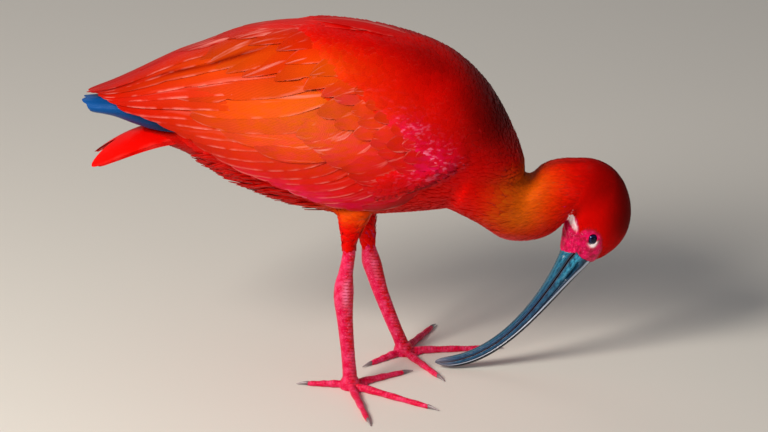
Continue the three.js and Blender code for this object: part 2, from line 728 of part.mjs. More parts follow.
for (const [key, side] of [["r", -1], ["l", 1]]) {
  ibis.add(meshOf("wing_" + key, wingSolid(side, trunkGrown), wingFeather));
  ibis.add(meshOf("primaries_" + key, primariesSolid(side, trunkGrown), primaryFeather));
  const leg = legs[key];
  const limbs = new THREE.Group();
  ibis.add(limbs);
  limbs.add(meshOf("thigh_" + key, limb(leg.thigh).subtract(trunkGrown), plumage));
  limbs.add(meshOf("shank_" + key, limb(leg.shank), legSkin));
  limbs.add(meshOf("tarsus_" + key, limb(leg.tarsus).add(footBallSolid(leg.foot)), legSkin));
  for (const [name, [heading, length]] of Object.entries(leg.toes)) {
    const ray = new THREE.Group();
    ray.position.set(leg.foot[0], leg.foot[1], -centring.z);
    ray.rotation.z = THREE.MathUtils.degToRad(heading);
    limbs.add(ray);
    const start = footBall.radius + gap;
    const toeMesh = meshOf("toe_" + name + "_" + key, solidOf(toeGeometry(length - start)), legSkin);
    toeMesh.position.x = start;
    ray.add(toeMesh);
    const clawMesh = meshOf("claw_" + name + "_" + key, solidOf(clawGeometry()), clawHorn);
    clawMesh.position.x = length + gap;
    ray.add(clawMesh);
  }
}

export default ibis;
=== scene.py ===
import math
from functools import partial
import bpy
import numpy as np
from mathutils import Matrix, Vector, noise


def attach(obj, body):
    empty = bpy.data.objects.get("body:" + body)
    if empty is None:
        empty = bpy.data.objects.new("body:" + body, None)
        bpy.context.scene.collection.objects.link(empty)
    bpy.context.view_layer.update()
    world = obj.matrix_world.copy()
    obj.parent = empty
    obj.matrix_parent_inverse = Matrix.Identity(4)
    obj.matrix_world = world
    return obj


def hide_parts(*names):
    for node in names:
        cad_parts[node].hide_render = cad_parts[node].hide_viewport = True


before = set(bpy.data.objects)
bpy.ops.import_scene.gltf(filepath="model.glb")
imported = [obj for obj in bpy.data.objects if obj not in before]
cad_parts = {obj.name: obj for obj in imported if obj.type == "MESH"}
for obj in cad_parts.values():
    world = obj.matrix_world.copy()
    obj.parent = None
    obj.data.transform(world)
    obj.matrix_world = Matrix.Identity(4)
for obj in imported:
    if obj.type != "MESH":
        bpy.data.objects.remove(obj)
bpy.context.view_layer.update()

# A scarlet ibis with its head down. Shapes are worked out in millimetres with the bird's middle plane at y = 0
# and the floor at floorLevel, and atPlace moves them to metres in the model's own frame.
centring = np.array([19.0, 11.5, 3.4])
floorLevel = -centring[2]
rng = np.random.default_rng(7)


def atPlace(points):
    return (np.asarray(points, float) + centring) * 0.001


# Camera, light and floor

view = {"target": (0.019, 0.0115, 0.1191), "distance": 3.07, "elevation": 21.0, "lens": 200.0}
lights = [  # name, place, size, watts, colour
    ("keyLight", (-1.0, -0.94, 1.08), 0.6, 31.0, "#fff6ea"),
    ("fillLight", (1.3, -1.6, 0.6), 1.4, 3.5, "#eef3ff"),
    ("rimLight", (-0.6, 1.5, 1.3), 0.9, 2.5, "#fff4ec"),
]
backdrop = {"floor": "#e0ddd7", "world": "#cfd2d6", "worldStrength": 0.3, "halfSize": 4.5}


def toLinear(hexColour, *alpha):
    channels = [int(hexColour[i:i + 2], 16) / 255 for i in (1, 3, 5)]
    return (*(c / 12.92 if c <= 0.04045 else ((c + 0.055) / 1.055) ** 2.4 for c in channels), *alpha)


# Inputs go in order or by name, and a node given as an input passes on its first output
def feed(tree, node, inputs):
    for key, value in inputs.items() if isinstance(inputs, dict) else enumerate(inputs):
        if isinstance(value, bpy.types.Node):
            value = value.outputs[0]
        if isinstance(value, bpy.types.NodeSocket):
            tree.links.new(value, node.inputs[key])
        else:
            node.inputs[key].default_value = value
    return node


# A short kind is a shader node's
def addNode(tree, kind, inputs=(), **settings):
    node = tree.nodes.new(kind if "Node" in kind else "ShaderNode" + kind)
    for key, value in settings.items():
        setattr(node, key, value)
    return feed(tree, node, inputs)


# A material, what adds a node to it, and what sets its shader's inputs
def newMaterial(name, **sockets):
    material = bpy.data.materials.new(name)
    material.use_nodes = True
    tree = material.node_tree
    shade = partial(feed, tree, tree.nodes["Principled BSDF"])
    shade({label.replace("_", " "): value for label, value in sockets.items()})
    return material, partial(addNode, tree), shade


def addToScene(name, data):
    made = bpy.data.objects.new(name, data)
    bpy.context.scene.collection.objects.link(made)
    return made


def pointAt(thing, target):
    thing.rotation_euler = (Vector(target) - thing.location).to_track_quat("-Z", "Y").to_euler()


def setStage():
    scene = bpy.context.scene
    camera = addToScene("camera", bpy.data.cameras.new("camera"))
    camera.data.lens, camera.data.sensor_width, camera.data.clip_start = view["lens"], 36, 0.05
    lift = math.radians(view["elevation"])
    camera.location = Vector(view["target"]) + Vector((0, -math.cos(lift), math.sin(lift))) * view["distance"]
    pointAt(camera, view["target"])
    scene.camera = camera
    for name, place, size, watts, colour in lights:
        lamp = bpy.data.lights.new(name, "AREA")
        lamp.size, lamp.energy, lamp.color = size, watts, toLinear(colour)
        thing = addToScene(name, lamp)
        thing.location = place
        pointAt(thing, view["target"])
    scene.world = bpy.data.worlds.new("studio")
    scene.world.use_nodes = True
    tree = scene.world.node_tree
    feed(tree, tree.nodes["Background"], [toLinear(backdrop["world"], 1), backdrop["worldStrength"]])
    sheet, half = bpy.data.meshes.new("floor"), backdrop["halfSize"]
    sheet.from_pydata([(-half, -half, 0), (half, -half, 0), (half, half, 0), (-half, half, 0)], [], [(0, 1, 2, 3)])
    # Unglazed paper, which throws no sheen back
    paper = newMaterial("matt studio paper", Base_Color=toLinear(backdrop["floor"], 1), Roughness=0.9)[0]
    sheet.materials.append(paper)
    addToScene("floor", sheet)
    scene.view_settings.view_transform = "Standard"


setStage()
print("stage set")

# The bird's forms, as in the model: upright ovals along x (x, middle, half height, half width)

outerForm = np.array([
    (-217, 207, 3, 10), (-190, 205.7, 13.7, 22), (-147, 204.3, 36.6, 38), (-130, 202.5, 45, 43),
    (-104, 199.7, 57.9, 50), (-68, 195.9, 68.2, 57), (-32, 192.4, 73.3, 59), (11, 188.8, 69.2, 57),
    (47, 183, 60, 50), (76, 171, 43.4, 37), (94, 158, 22.5, 22), (101, 151, 7, 7)])
trunkForm = np.array([
    (-176, 180.5, 4, 10), (-150, 181.5, 12, 21), (-130, 186, 27, 30), (-104, 191.5, 48.5, 41),
    (-68, 194, 65, 50.5), (-32, 190.9, 71.4, 52.5), (11, 188, 68.2, 51.5), (47, 183, 59.8, 48),
    (76, 171, 43.4, 37), (94, 158, 22.5, 22), (101, 151, 7, 7)])
foldedForm = np.array([
    (-217, 202, 4.5, 9), (-190, 201.5, 8.5, 15), (-158, 200.5, 23.5, 27), (-130, 198.5, 37.5, 36.5),
    (-100, 193.5, 51.4, 44.2)])
# Neck and head: back x, back z, throat x, throat z, half width
neckForm = np.array([
    (66, 184, 42, 126, 42), (94, 155, 67, 111.5, 31), (106.5, 147.5, 83, 100, 25.5), (115.5, 156, 98, 97, 23.5),
    (126.6, 160, 112, 98.8, 22.5), (139, 160.4, 121.5, 104, 21), (150.5, 159.8, 126.8, 110, 19.8),
    (163, 154, 129.2, 114, 18.8), (171.8, 144, 129.8, 113.4, 18), (176.8, 130.5, 129.4, 111.4, 17.2),
    (177.8, 117, 128.9, 108.4, 16.4), (175.4, 104.5, 128.3, 104.4, 15.2), (169.3, 94.2, 127.8, 99.6, 13.4),
    (160, 86, 127.2, 94.4, 10.8), (150.2, 80.6, 126.6, 89, 7.8)])
wingEdge = np.array([
    (-213, 20), (-190, 8), (-158, -14), (-124, -31), (-90, -38), (-58, -46), (-28, -54), (0, -49),
    (40, -30), (58, -14), (63, -4)])
eye = {"centre": (149.8, 11.6, 103.2), "radius": 4.3}


def stacked(*columns):
    return np.stack(np.broadcast_arrays(*columns), axis=-1)


def dot(a, b):
    return np.einsum("ij,ij->i", a, b)


def unit(vectors):
    return vectors / np.maximum(np.linalg.norm(vectors, axis=-1, keepdims=True), 1e-9)


def strongest(*shares):
    return np.maximum.reduce(shares)


def circle(count):
    return np.linspace(0, 2 * np.pi, count, endpoint=False)


def ringOf(centre, radius, across, up, count):
    turn = circle(count)[:, None]
    return centre + radius * (np.cos(turn) * across + np.sin(turn) * up)


def smoothStep(value, low, high):
    t = np.clip((value - low) / (high - low), 0, 1)
    return t * t * (3 - 2 * t)


def between(start, end, share):
    return start + (end - start) * share


def bump(value, middle, reach):
    return np.exp(-((value - middle) / reach) ** 2)


# A column of a form on a smooth line through its rows, at x
def valueAt(table, x, k):
    xs, ys, last = table[:, 0], table[:, k], len(table) - 1
    x = np.clip(x, xs[0], xs[-1])
    i = np.clip(np.searchsorted(xs, x) - 1, 0, last - 1)
    before, after = np.maximum(np.arange(last + 1) - 1, 0), np.minimum(np.arange(last + 1) + 1, last)
    slope = (ys[after] - ys[before]) / (xs[after] - xs[before])
    span = xs[i + 1] - xs[i]
    t = (x - xs[i]) / span
    bend = span * ((t**3 - 2 * t**2 + t) * slope[i] + (t**3 - t**2) * slope[i + 1])
    return (2 * t**3 - 3 * t**2 + 1) * ys[i] + (3 * t**2 - 2 * t**3) * ys[i + 1] + bend


# A whole row of a table on a smooth line through its rows, at a step from 0 to the last
def rowAt(table, step):
    table, last = np.asarray(table, float), len(table) - 1
    step = np.clip(np.asarray(step, float), 0, last)
    i = np.minimum(np.floor(step).astype(int), last - 1)
    a, b, c, d = (table[np.clip(i + k, 0, last)] for k in (-1, 0, 1, 2))
    t = (step - i)[..., None]
    return b + 0.5 * t * (c - a + t * (2 * a - 5 * b + 4 * c - d + t * (3 * (b - c) + d - a)))


def onForm(table, x, angle, grown, side):
    x, turn = np.asarray(x, float), np.radians(angle)
    y = side * (valueAt(table, x, 3) + grown) * np.cos(turn)
    return stacked(x, y, valueAt(table, x, 1) + (valueAt(table, x, 2) + grown) * np.sin(turn))


# The middle line, half height vector and half width of the neck at a step of its table
def neckAt(step):
    row = rowAt(neckForm, step)
    back, throat = (row[..., [k, k, k + 1]] * (1, 0, 1) for k in (0, 2))
    return (back + throat) / 2, (back - throat) / 2, row[..., 4]


def neckPoint(step, turn, inset):
    step, turn, inset = np.broadcast_arrays(step, turn, inset)
    middle, up, width = neckAt(step)
    points = middle + up * ((1 - inset / np.linalg.norm(up, axis=-1)) * np.cos(turn))[..., None]
    points[..., 1] += (width - inset) * np.sin(turn)
    return points


def edgeAt(x):
    return np.interp(x, *wingEdge.T)


# Meshes

# Joins rings of points, with a cap at each end or, where they are closed, the last ring to the first
def loft(rings, closed=False):
    rings = np.asarray(rings, float)
    rows, count = rings.shape[:2]
    faces = []
    for i in range(rows if closed else rows - 1):
        for j in range(count):
            k, n = (j + 1) % count, (i + 1) % rows
            faces.append((i * count + j, i * count + k, n * count + k, n * count + j))
    if not closed:
        faces += [tuple(reversed(range(count))), tuple(range((rows - 1) * count, rows * count))]
    return rings.reshape(-1, 3), faces


def joinedParts(parts):
    points, faces, start = [], [], 0
    for partPoints, partFaces in parts:
        points.append(partPoints)
        faces += [tuple(start + v for v in face) for face in partFaces]
        start += len(partPoints)
    return np.concatenate(points), faces


def makeMesh(name, points, faces):
    mesh = bpy.data.meshes.new(name)
    mesh.from_pydata(atPlace(points).tolist(), [], faces)
    mesh.validate()
    mesh.shade_smooth()
    mesh.update()
    return mesh


def readOff(mesh, kind):
    flat = np.empty(len(mesh.vertices) * 3)
    mesh.vertices.foreach_get(kind, flat)
    return flat.reshape(-1, 3)


# A mesh's points in millimetres, and its normals
def formOf(mesh):
    return readOff(mesh, "co") * 1000.0 - centring, readOff(mesh, "normal")


def movePoints(mesh, points):
    mesh.vertices.foreach_set("co", atPlace(points).ravel())
    mesh.update()


def turnOutwards(mesh):
    mesh.calc_loop_triangles()
    a, b, c = readOff(mesh, "co")[np.array([t.vertices[:] for t in mesh.loop_triangles])].transpose(1, 0, 2)
    if dot(a, np.cross(b, c)).sum() < 0:
        mesh.flip_normals()


def setMarks(mesh, **marks):
    for name, values in marks.items():
        values = np.asarray(values, float)
        kind, key = ("FLOAT_VECTOR", "vector") if values.ndim == 2 else ("FLOAT", "value")
        mesh.attributes.new(name, kind, "POINT").data.foreach_set(key, values.ravel())


def newPiece(name, form, finish, **marks):
    mesh = makeMesh(name, *form)
    turnOutwards(mesh)
    setMarks(mesh, **marks)
    mesh.materials.append(finish)
    return addToScene(name, mesh)


def evaluated(thing, name):
    graph = bpy.context.evaluated_depsgraph_get()
    graph.update()
    made = addToScene(name, bpy.data.meshes.new_from_object(thing.evaluated_get(graph), depsgraph=graph))
    made.data.name = name
    old = thing.data
    bpy.data.objects.remove(thing)
    bpy.data.meshes.remove(old)
    return made


def remeshed(name, parts, voxel, rounds):
    rough = addToScene(name + "Rough", makeMesh(name + "Rough", *joinedParts(parts)))
    turnOutwards(rough.data)
    remesh = rough.modifiers.new("remesh", "REMESH")
    remesh.mode, remesh.voxel_size = "VOXEL", voxel * 0.001
    smooth = rough.modifiers.new("smooth", "SMOOTH")
    smooth.factor, smooth.iterations = 0.5, rounds
    made = evaluated(rough, name)
    made.data.shade_smooth()
    return made


# Where each part of the bird lies along its spine, from the tail to the face

trunkXs, neckSteps = np.linspace(-176, 20, 40), np.linspace(0.2, 14, 90)
spine = np.concatenate([stacked(trunkXs, 0, valueAt(trunkForm, trunkXs, 1)), neckAt(neckSteps)[0]])
spineLength = np.concatenate([[0], np.cumsum(np.linalg.norm(np.diff(spine, axis=0), axis=1))])
spineTangent = unit(np.gradient(spine, axis=0))
neckStart = spineLength[len(trunkXs)]
# The skin of the head comes out of the neck's at this step of the neck's table, and both run on for the overlap
crossStep, overlap = 6.3, 0.8


def lengthAtStep(step):
    return spineLength[len(trunkXs) + np.abs(neckSteps - step).argmin()]


crossing = lengthAtStep(crossStep)


# For points on the body: distance along the spine, angle round it (0 on the back), and the way feathers lie
def spineFrame(points, normals):
    along, angle, lie = np.empty(len(points)), np.empty(len(points)), np.empty((len(points), 3))
    for start in range(0, len(points), 20000):
        part = slice(start, start + 20000)
        distance = np.linalg.norm(points[part, None, :] - spine[None, :, :], axis=2)
        nearest = distance.min(axis=1, keepdims=True)
        weight = np.exp(-(distance - nearest) / (0.1 * nearest + 1.5))
        weight /= weight.sum(axis=1, keepdims=True)
        tangent = weight @ spineTangent
        along[part] = weight @ spineLength
        offset = points[part] - weight @ spine
        angle[part] = np.arctan2(offset[:, 1], dot(offset, unit(np.cross(tangent, (0.0, -1.0, 0.0)))))
        lie[part] = -tangent
    return along, angle, unit(lie - normals * dot(lie, normals)[:, None])


# Angle on the wing's form: 0 at the side, 90 on the ridge of the back
def sideAngle(points):
    x, y, z = points.T
    up = (z - valueAt(outerForm, x, 1)) / np.maximum(valueAt(outerForm, x, 2), 1)
    return np.degrees(np.arctan2(up, np.abs(y) / np.maximum(valueAt(outerForm, x, 3), 1)))


# The bird's markings, the same on skin and feathers: how golden, partly as painted sunlight; how pink, as painted
# highlights and sheen and a pink fringe; and how much painted shade
def markings(points):
    x, y, z = points.T
    angle = sideAngle(points)
    overEdge = angle - edgeAt(x)
    throat = smoothStep(162 - z, -2, 16) * (0.3 + 0.7 * smoothStep(z, 106, 124))
    # A golden tone on the wing, the neck and the top of the thigh, partly the plumage's own and partly painted sunlight
    # on the lit parts
    gold = strongest(
        bump(x, -62, 56) * bump(angle, 13, 28),
        0.55 * bump(x, -104, 46) * bump(angle, 55, 22),
        0.6 * bump(x, -42, 40) * bump(angle, 42, 15),
        bump(x - 0.25 * (z - 130), 102, 18) * throat,
        0.6 * bump(x, -16, 18) * bump(z, 129, 6.5))
    # Painted pink highlights and sheen on the wing's lower edge, the wrist, the mantle's edge and the coverts, and a
    # pink fringe along the neck's lower edge
    pink = strongest(
        bump(x, -46, 38) * bump(overEdge, 5, 9) * smoothStep(overEdge, -3, 1),
        bump(x, 39, 15) * bump(angle, -12, 13),
        0.5 * bump(x, 28, 14) * bump(angle, 8, 10),
        0.4 * bump(x, -36, 18) * bump(angle, 27, 5),
        0.28 * bump(x, -40, 60) * bump(angle, 0, 22),
        0.75 * bump(x, 92, 20) * smoothStep(111 - z, 0, 10))
    # Painted shade: over the front of the back, on the back, over the head, in the crease under the wing's edge and
    # towards the rear
    deep = strongest(
        smoothStep(x, 40, 92) * smoothStep(z, 152, 192),
        0.5 * smoothStep(x, 0, 45) * bump(angle, 64, 17),
        0.8 * smoothStep(x, 152, 174) * smoothStep(z, 92, 108),
        0.6 * smoothStep(x, 132, 164) * smoothStep(z, 116, 140),
        0.7 * bump(overEdge, -3, 4.5) * smoothStep(x, -30, 10) * smoothStep(x, 66, 58),
        0.35 * smoothStep(-x, 40, 120) * bump(angle, 66, 24),
        0.4 * smoothStep(-overEdge, 1, 8) * smoothStep(-x, 20, 45),
        0.32 * smoothStep(-x, 70, 130) * smoothStep(angle, -40, -10))
    return [np.clip(share, 0, 1) for share in (gold, pink, deep)]


# The painted shadow of the dark gap that runs back between two of the wing's long upper feathers
def tertialGap(points):
    x = points[:, 0]
    middle = np.interp(x, (-200, -171, -128, -105, -75), (58, 56, 52, 55, 62))
    return 0.85 * bump(sideAngle(points), middle, 2.4) * smoothStep(-x, 70, 100)


# How bare the skin is, from 0 under feathers to 1 on the face
def bareness(points):
    x, y, z = points.T
    cx, cy, cz = eye["centre"]
    toEye = np.sqrt((x - cx + 2.4)**2 * 1.05 + (z - cz + 2.2)**2 * 0.85)
    aroundEye = smoothStep(toEye, 10.2, 7.8) * smoothStep(np.abs(y), 3, 6)
    lores = smoothStep(z, 98.5, 94.5) * smoothStep(x + (92 - z) * 0.35, 156.8, 153.8)
    cheek = 139.6 - np.clip(z - 112, 0, 24) * 0.26
    front = 122 + np.clip(z - 111, 0, 6) - np.clip(z - 119, 0, 16) * 0.1
    gular = smoothStep(x, cheek + 1.2, cheek - 0.8) * smoothStep(x, front - 1, front + 1) * smoothStep(z, 134, 130)
    return np.clip(strongest(aroundEye, lores, gular), 0, 1)


# Skin, lying under the feathers by these depths, and the legs it runs on to

skinSizes = {"bodyVoxel": 1.7, "headVoxel": 0.5, "trunkDepth": 2.2, "wingDepth": 5.2, "shoulderDepth": 2.1,
             "neckDepth": 1.5, "headDepth": 0.7}
# Rows of a thigh or shin: middle x, y, z and half the depth and width. Toes: heading and length.
legs = {
    "r": {
        "thigh": [(-14, -17, 158, 25, 10), (-18, -20.5, 138, 18.5, 10.5), (-22, -28, 121, 11, 9),
                  (-24.3, -30.6, 108, 6.8, 6.6), (-25, -31, 97, 5.4, 5.2)],
        "shin": [(-24.8, -31, 108, 4.2, 4), (-25, -31, 98.7, 4.7, 4.4), (-27.3, -32, 85, 5.3, 4.8),
                 (-28.4, -32.8, 78, 6.5, 5.6), (-28.8, -33.2, 70, 7.2, 6.2), (-28.9, -33.6, 62, 6.9, 5.4),
                 (-28, -34, 48.5, 5.8, 4.6), (-26, -35, 24, 5, 4.3), (-24.8, -35.4, 8.6, 5.2, 4.8),
                 (-24.5, -35.5, 1.6, 5.6, 5.4)],
        "foot": (-24.5, -35.5, floorLevel),
        "toes": {"middle": (-34, 68), "outer": (-78, 63), "inner": (33, 46), "hind": (172, 31)},
    },
    "l": {
        "thigh": [(-12, 17, 158, 25, 10), (-13, 20.5, 138, 17, 10.5), (-12.8, 28.2, 118, 10.5, 9),
                  (-12.4, 30, 98, 7.5, 7.2), (-11.6, 30.4, 85, 6.9, 6.6), (-10.6, 30.8, 75, 6.3, 6.0)],
        "shin": [(-12.2, 30, 98, 4.4, 4.2), (-12, 30.3, 85.7, 4.8, 4.6), (-11, 30.6, 79, 5.4, 5),
                 (-10, 30.9, 73, 6.5, 5.6), (-8.6, 31.2, 66, 7.2, 6.2), (-6.4, 31, 58, 6.6, 5.3),
                 (-2.4, 30.3, 44.5, 5.9, 4.6), (6.2, 28.8, 21.5, 5.3, 4.4), (11.8, 28, 8.1, 5.2, 4.8),
                 (14, 27.6, 1.6, 5.6, 5.4)],
        "foot": (14.2, 27.5, floorLevel),
        "toes": {"middle": (7, 66), "outer": (66, 52), "inner": (-61, 52), "hind": (-138, 32)},
    },
}


def limbLoft(rows, steps, around, inset=0.0):
    row = rowAt(rows, np.linspace(0, 1, steps) * (len(rows) - 1))[:, None]
    turn = circle(around)
    x = row[..., 0] + (row[..., 3] - inset) * np.cos(turn)
    return loft(stacked(x, row[..., 1] + (row[..., 4] - inset) * np.sin(turn), row[..., 2]))


def neckLoft(steps, around, sunk):
    # The coat is thinner on the head than on the neck. Both skins lie at one depth where they cross
    depth = between(skinSizes["neckDepth"], skinSizes["headDepth"], smoothStep(steps, 7.6, 10.4))
    return loft(neckPoint(steps[:, None], circle(around)[None, :], (depth + sunk)[:, None]))


# The wing's big feathers start behind this x, and small ones cover it in front: by the angle on the wing's form
def coatFrom(angle):
    return np.interp(angle, (-55, -40, -30, -22, -17, -13, 0, 14, 24, 31, 40, 60, 80),
                     (4, 0, -8, -8, 12, 40, 25, 8, -4, -12, -30, -44, -52))


def bodyParts():
    xs = np.linspace(trunkForm[0, 0] + 4, trunkForm[-1, 0] - 1, 70)
    angles = np.linspace(0, 360, 72, endpoint=False)
    parts = [loft(onForm(trunkForm, xs[:, None], angles[None, :], -skinSizes["trunkDepth"], 1))]
    for side in (-1, 1):
        rings = []
        for x in np.linspace(-104, 58, 56):
            high = np.interp(x, [-104, -60, 10, 40, 58], [84, 86, 84, 70, 40])
            angles = np.linspace(edgeAt(x) + 4, high, 30)
            coated = smoothStep(x - coatFrom(angles), -16, 4)
            depth = between(skinSizes["wingDepth"], skinSizes["shoulderDepth"], coated)
            flush = np.maximum(smoothStep(angles, 62, 84), smoothStep(x, 10, 56) * smoothStep(angles, -12, 26))
            raised = onForm(outerForm, x, angles, -depth, side)
            sunk = onForm(trunkForm, x, angles, -skinSizes["trunkDepth"] - 0.3, side)
            top = between(raised, sunk, (flush * smoothStep(x, -60, -15))[:, None])
            rings.append(np.concatenate([top, onForm(outerForm, x, angles, -15.0, side)[::-1]]))
        parts.append(loft(rings))
    steps = np.linspace(0.2, crossStep + overlap, 60)
    return [*parts, neckLoft(steps, 60, smoothStep(steps, crossStep, crossStep + overlap)),
            *(limbLoft(leg["thigh"], 30, 28, inset=1.3) for leg in legs.values())]


# Each lid is a soft ring that hugs the eyeball, longer along the head than across it, with a fold of skin round it
lids = {"halfLength": 4.5, "halfWidth": 3.15, "lean": math.radians(12),
        "rings": [(0.15, 0.55, 0.12), (1.7, 0.55, -0.45)]}  # how far out, how thick, how high over the eyeball


def lidRing(side, spreadOut, thickness, lift):
    cx, cy, cz = eye["centre"]
    turn, lean = circle(72), lids["lean"]
    ex, ez = (lids["halfWidth"] + spreadOut) * np.cos(turn), (lids["halfLength"] + spreadOut) * np.sin(turn)
    dx, dz = ex * math.cos(lean) + ez * math.sin(lean), ez * math.cos(lean) - ex * math.sin(lean)
    out = np.sqrt(np.maximum((eye["radius"] + lift)**2 - dx * dx - dz * dz, 0.5))
    path = stacked(cx + dx, side * (cy + out), cz + dz)
    tangents = unit(np.roll(path, -1, axis=0) - np.roll(path, 1, axis=0))
    outwards = path - path.mean(axis=0)
    outwards = unit(outwards - tangents * dot(outwards, tangents)[:, None])
    return loft([ringOf(point, thickness, outward, np.cross(tangent, outward), 10)
                 for point, tangent, outward in zip(path, tangents, outwards)], closed=True)


def headParts():
    steps = np.linspace(crossStep - overlap, 13.98, 150)
    return [neckLoft(steps, 120, smoothStep(steps, crossStep, crossStep - overlap)),
            *(lidRing(side, *row) for side in (-1, 1) for row in lids["rings"])]


gapeLine = np.array([(138.6, 9.4, 90.6), (141.0, 12.0, 97.0)])
# Where the horn of the bill ends on the face, as (x, z), with the corner of the mouth at its highest
hornEdge = np.array([(126, 90.2), (127.3, 90.4), (134, 90.4), (138.6, 91.4), (139.6, 90.6), (141.3, 87.3), (146.7, 84),
                     (149.2, 82), (152, 80.6)])


def overHorn(x, z):
    return z - np.interp(x, *hornEdge.T)


def roughness(points, *scale):
    return np.array([noise.noise(Vector(p * scale)) for p in points])


def shapeHead(mesh):
    points, normals = formOf(mesh)
    x, y, z = points.T
    mirrored = stacked(x, np.abs(y), z)
    bare = bareness(points)
    start, end = gapeLine
    ray = end - start
    t = np.clip((mirrored - start) @ ray / (ray @ ray), -0.2, 1)
    away = np.linalg.norm(mirrored - (start + t[:, None] * ray), axis=1)
    moved = bare * skinSizes["headDepth"] * 0.75
    moved -= 0.75 * bump(away, 0, 0.7) * smoothStep(1 - t, -0.05, 0.3)
    moved += 0.3 * bump(away, 1.5, 0.8)
    moved -= 1.5 * smoothStep(overHorn(x, z), 0.15, -0.7)
    # Fine folds of the bare throat, running from the bill to the neck, rings of folds round the eye, and grains
    moved += 0.2 * np.sin(x * 2.6 + 1.8 * np.sin(z * 0.35)) * smoothStep(x, 142, 136) * bare
    ex, ez, lean = x - eye["centre"][0], z - eye["centre"][2], lids["lean"]
    across, up = ex * math.cos(lean) - ez * math.sin(lean), ez * math.cos(lean) + ex * math.sin(lean)
    inside = np.hypot(across / (lids["halfWidth"] - 0.1), up / (lids["halfLength"] - 0.1))
    grain = roughness(points, 0.85)
    ripple = np.cos((inside + 0.12 * grain) * 2 * np.pi / 0.34) * smoothStep(inside, 1.35, 1.6)
    moved += (0.13 * ripple * smoothStep(inside, 2.9, 2.1) * smoothStep(np.abs(y), 7, 10) + 0.2 * grain) * bare
    points = points + normals * moved[:, None]
    # The opening between the lids, where the eyeball shows
    y = points[:, 1]
    y -= np.sign(y) * 3.6 * smoothStep(inside, 1.04, 0.84) * smoothStep(np.abs(y), 8, 10)
    movePoints(mesh, points)


bodySkin = remeshed("body_skin", bodyParts(), skinSizes["bodyVoxel"], 6)
headSkin = remeshed("head_skin", headParts(), skinSizes["headVoxel"], 3)
shapeHead(headSkin.data)
print("skins made", len(bodySkin.data.vertices), len(headSkin.data.vertices))


# Gives a skin what its feathers read: the way they lie, the markings, and an unwrap of its own shape
def readyForCoat(skin, firstAlong):
    points, normals = formOf(skin.data)
    along, angle, lie = spineFrame(points, normals)
    gold, pink, deep = markings(points)
    share = np.clip((along - firstAlong) / (spineLength[-1] - firstAlong), 0, 1)
    unwrap = stacked(share * 0.98 + 0.01, (angle / (2 * np.pi) + 0.5) * 0.98 + 0.01, 0)
    setMarks(skin.data, lie=lie, outward=normals, gold=gold, pink=pink, deep=deep, bare=bareness(points), unwrap=unwrap)
    return points, along


# Where each kind of small feather grows, from 0 to 1 on the skin's points, and how large they are there
def growOnBody():
    points, along = readyForCoat(bodySkin, 0)
    x, y, z = points.T
    angle, low = sideAngle(points), edgeAt(x)
    onNeck = smoothStep(along, neckStart + 34, neckStart + 52)
    underWing = smoothStep(coatFrom(angle) - x, -3, 3) * smoothStep(angle, low + 2, low + 9)
    onThigh = smoothStep(z, 131, 124) * smoothStep(np.abs(x + 17), 30, 24)
    onBreast = np.maximum(smoothStep(x - 0.2 * angle, 62, 72), smoothStep(angle, low + 1, low - 4))
    flank = smoothStep(angle, low - 2, low - 8) * smoothStep(angle, -88, -80)
    size = 1 + 0.45 * smoothStep(angle, 5, 40) * smoothStep(x, 40, 0)
    size *= 1 + 0.5 * smoothStep(x - coatFrom(angle), 24, 4) * smoothStep(angle, -16, -8)
    size *= 1 - 0.3 * smoothStep(along, neckStart, neckStart + 44) * (1 - onNeck)
    setMarks(bodySkin.data,
             growBody=(1 - underWing) * (1 - onNeck) * (1 - onThigh) * (1 - onBreast),
             growBreast=onBreast * (1 - onNeck) * (1 - onThigh),
             growNeck=onNeck * smoothStep(along, crossing + 12, crossing + 2),
             growFlank=0.8 * flank * smoothStep(x, -30, -45) * smoothStep(x, -128, -110),
             growThigh=onThigh * smoothStep(z - np.where(y > 0, 76, 87), 0, 5),
             size=size * (1 - 0.2 * smoothStep(along, crossing - 45, crossing)))


def growOnHead():
    points, along = readyForCoat(headSkin, lengthAtStep(crossStep - overlap))
    x, y, z = points.T
    bare = bareness(points)
    grow = smoothStep(0.5 - bare, 0, 0.3) * smoothStep(z, 79, 83) * smoothStep(along, crossing - 4, crossing + 8)
    size = (0.75 + 0.5 * smoothStep(along, crossing + 60, crossing)) * (1 - 0.4 * smoothStep(bare, 0.0, 0.3))
    # The pale streak up the throat, a painted highlight on the bare skin, and a pale crescent on the rim of the lower
    # lid
    ragged = roughness(points, 0.9, 0.9, 0.3)
    aside = np.abs(x - 133.6 - np.clip(118.5 - z, 0, 12) * 0.45 + 0.8 * ragged)
    streakWidth = np.interp(z, (107, 112, 119, 125, 129), (1.4, 2.8, 3.6, 2.8, 1.2))
    streak = smoothStep(aside / streakWidth, 1.1, 0.5) * smoothStep(z + 4 * ragged, 107, 116)
    ex, ez = x - eye["centre"][0], z - eye["centre"][2]
    rimAway = np.hypot(ex * 0.98 - ez * 0.2, (ez + ex * 0.2) * 0.72)
    crescent = 1.6 * bump(rimAway, 3.7, 1.2) * bump(ex, 0.4, 3.0) * smoothStep(-ez + ex * 0.25, 1.0, 2.8)
    crescent *= smoothStep(np.abs(y), 8, 11)
    setMarks(headSkin.data, growHead=grow, size=size, pale=np.clip(np.maximum(streak, crescent), 0, 1))


growOnBody()
growOnHead()
print("skins read")
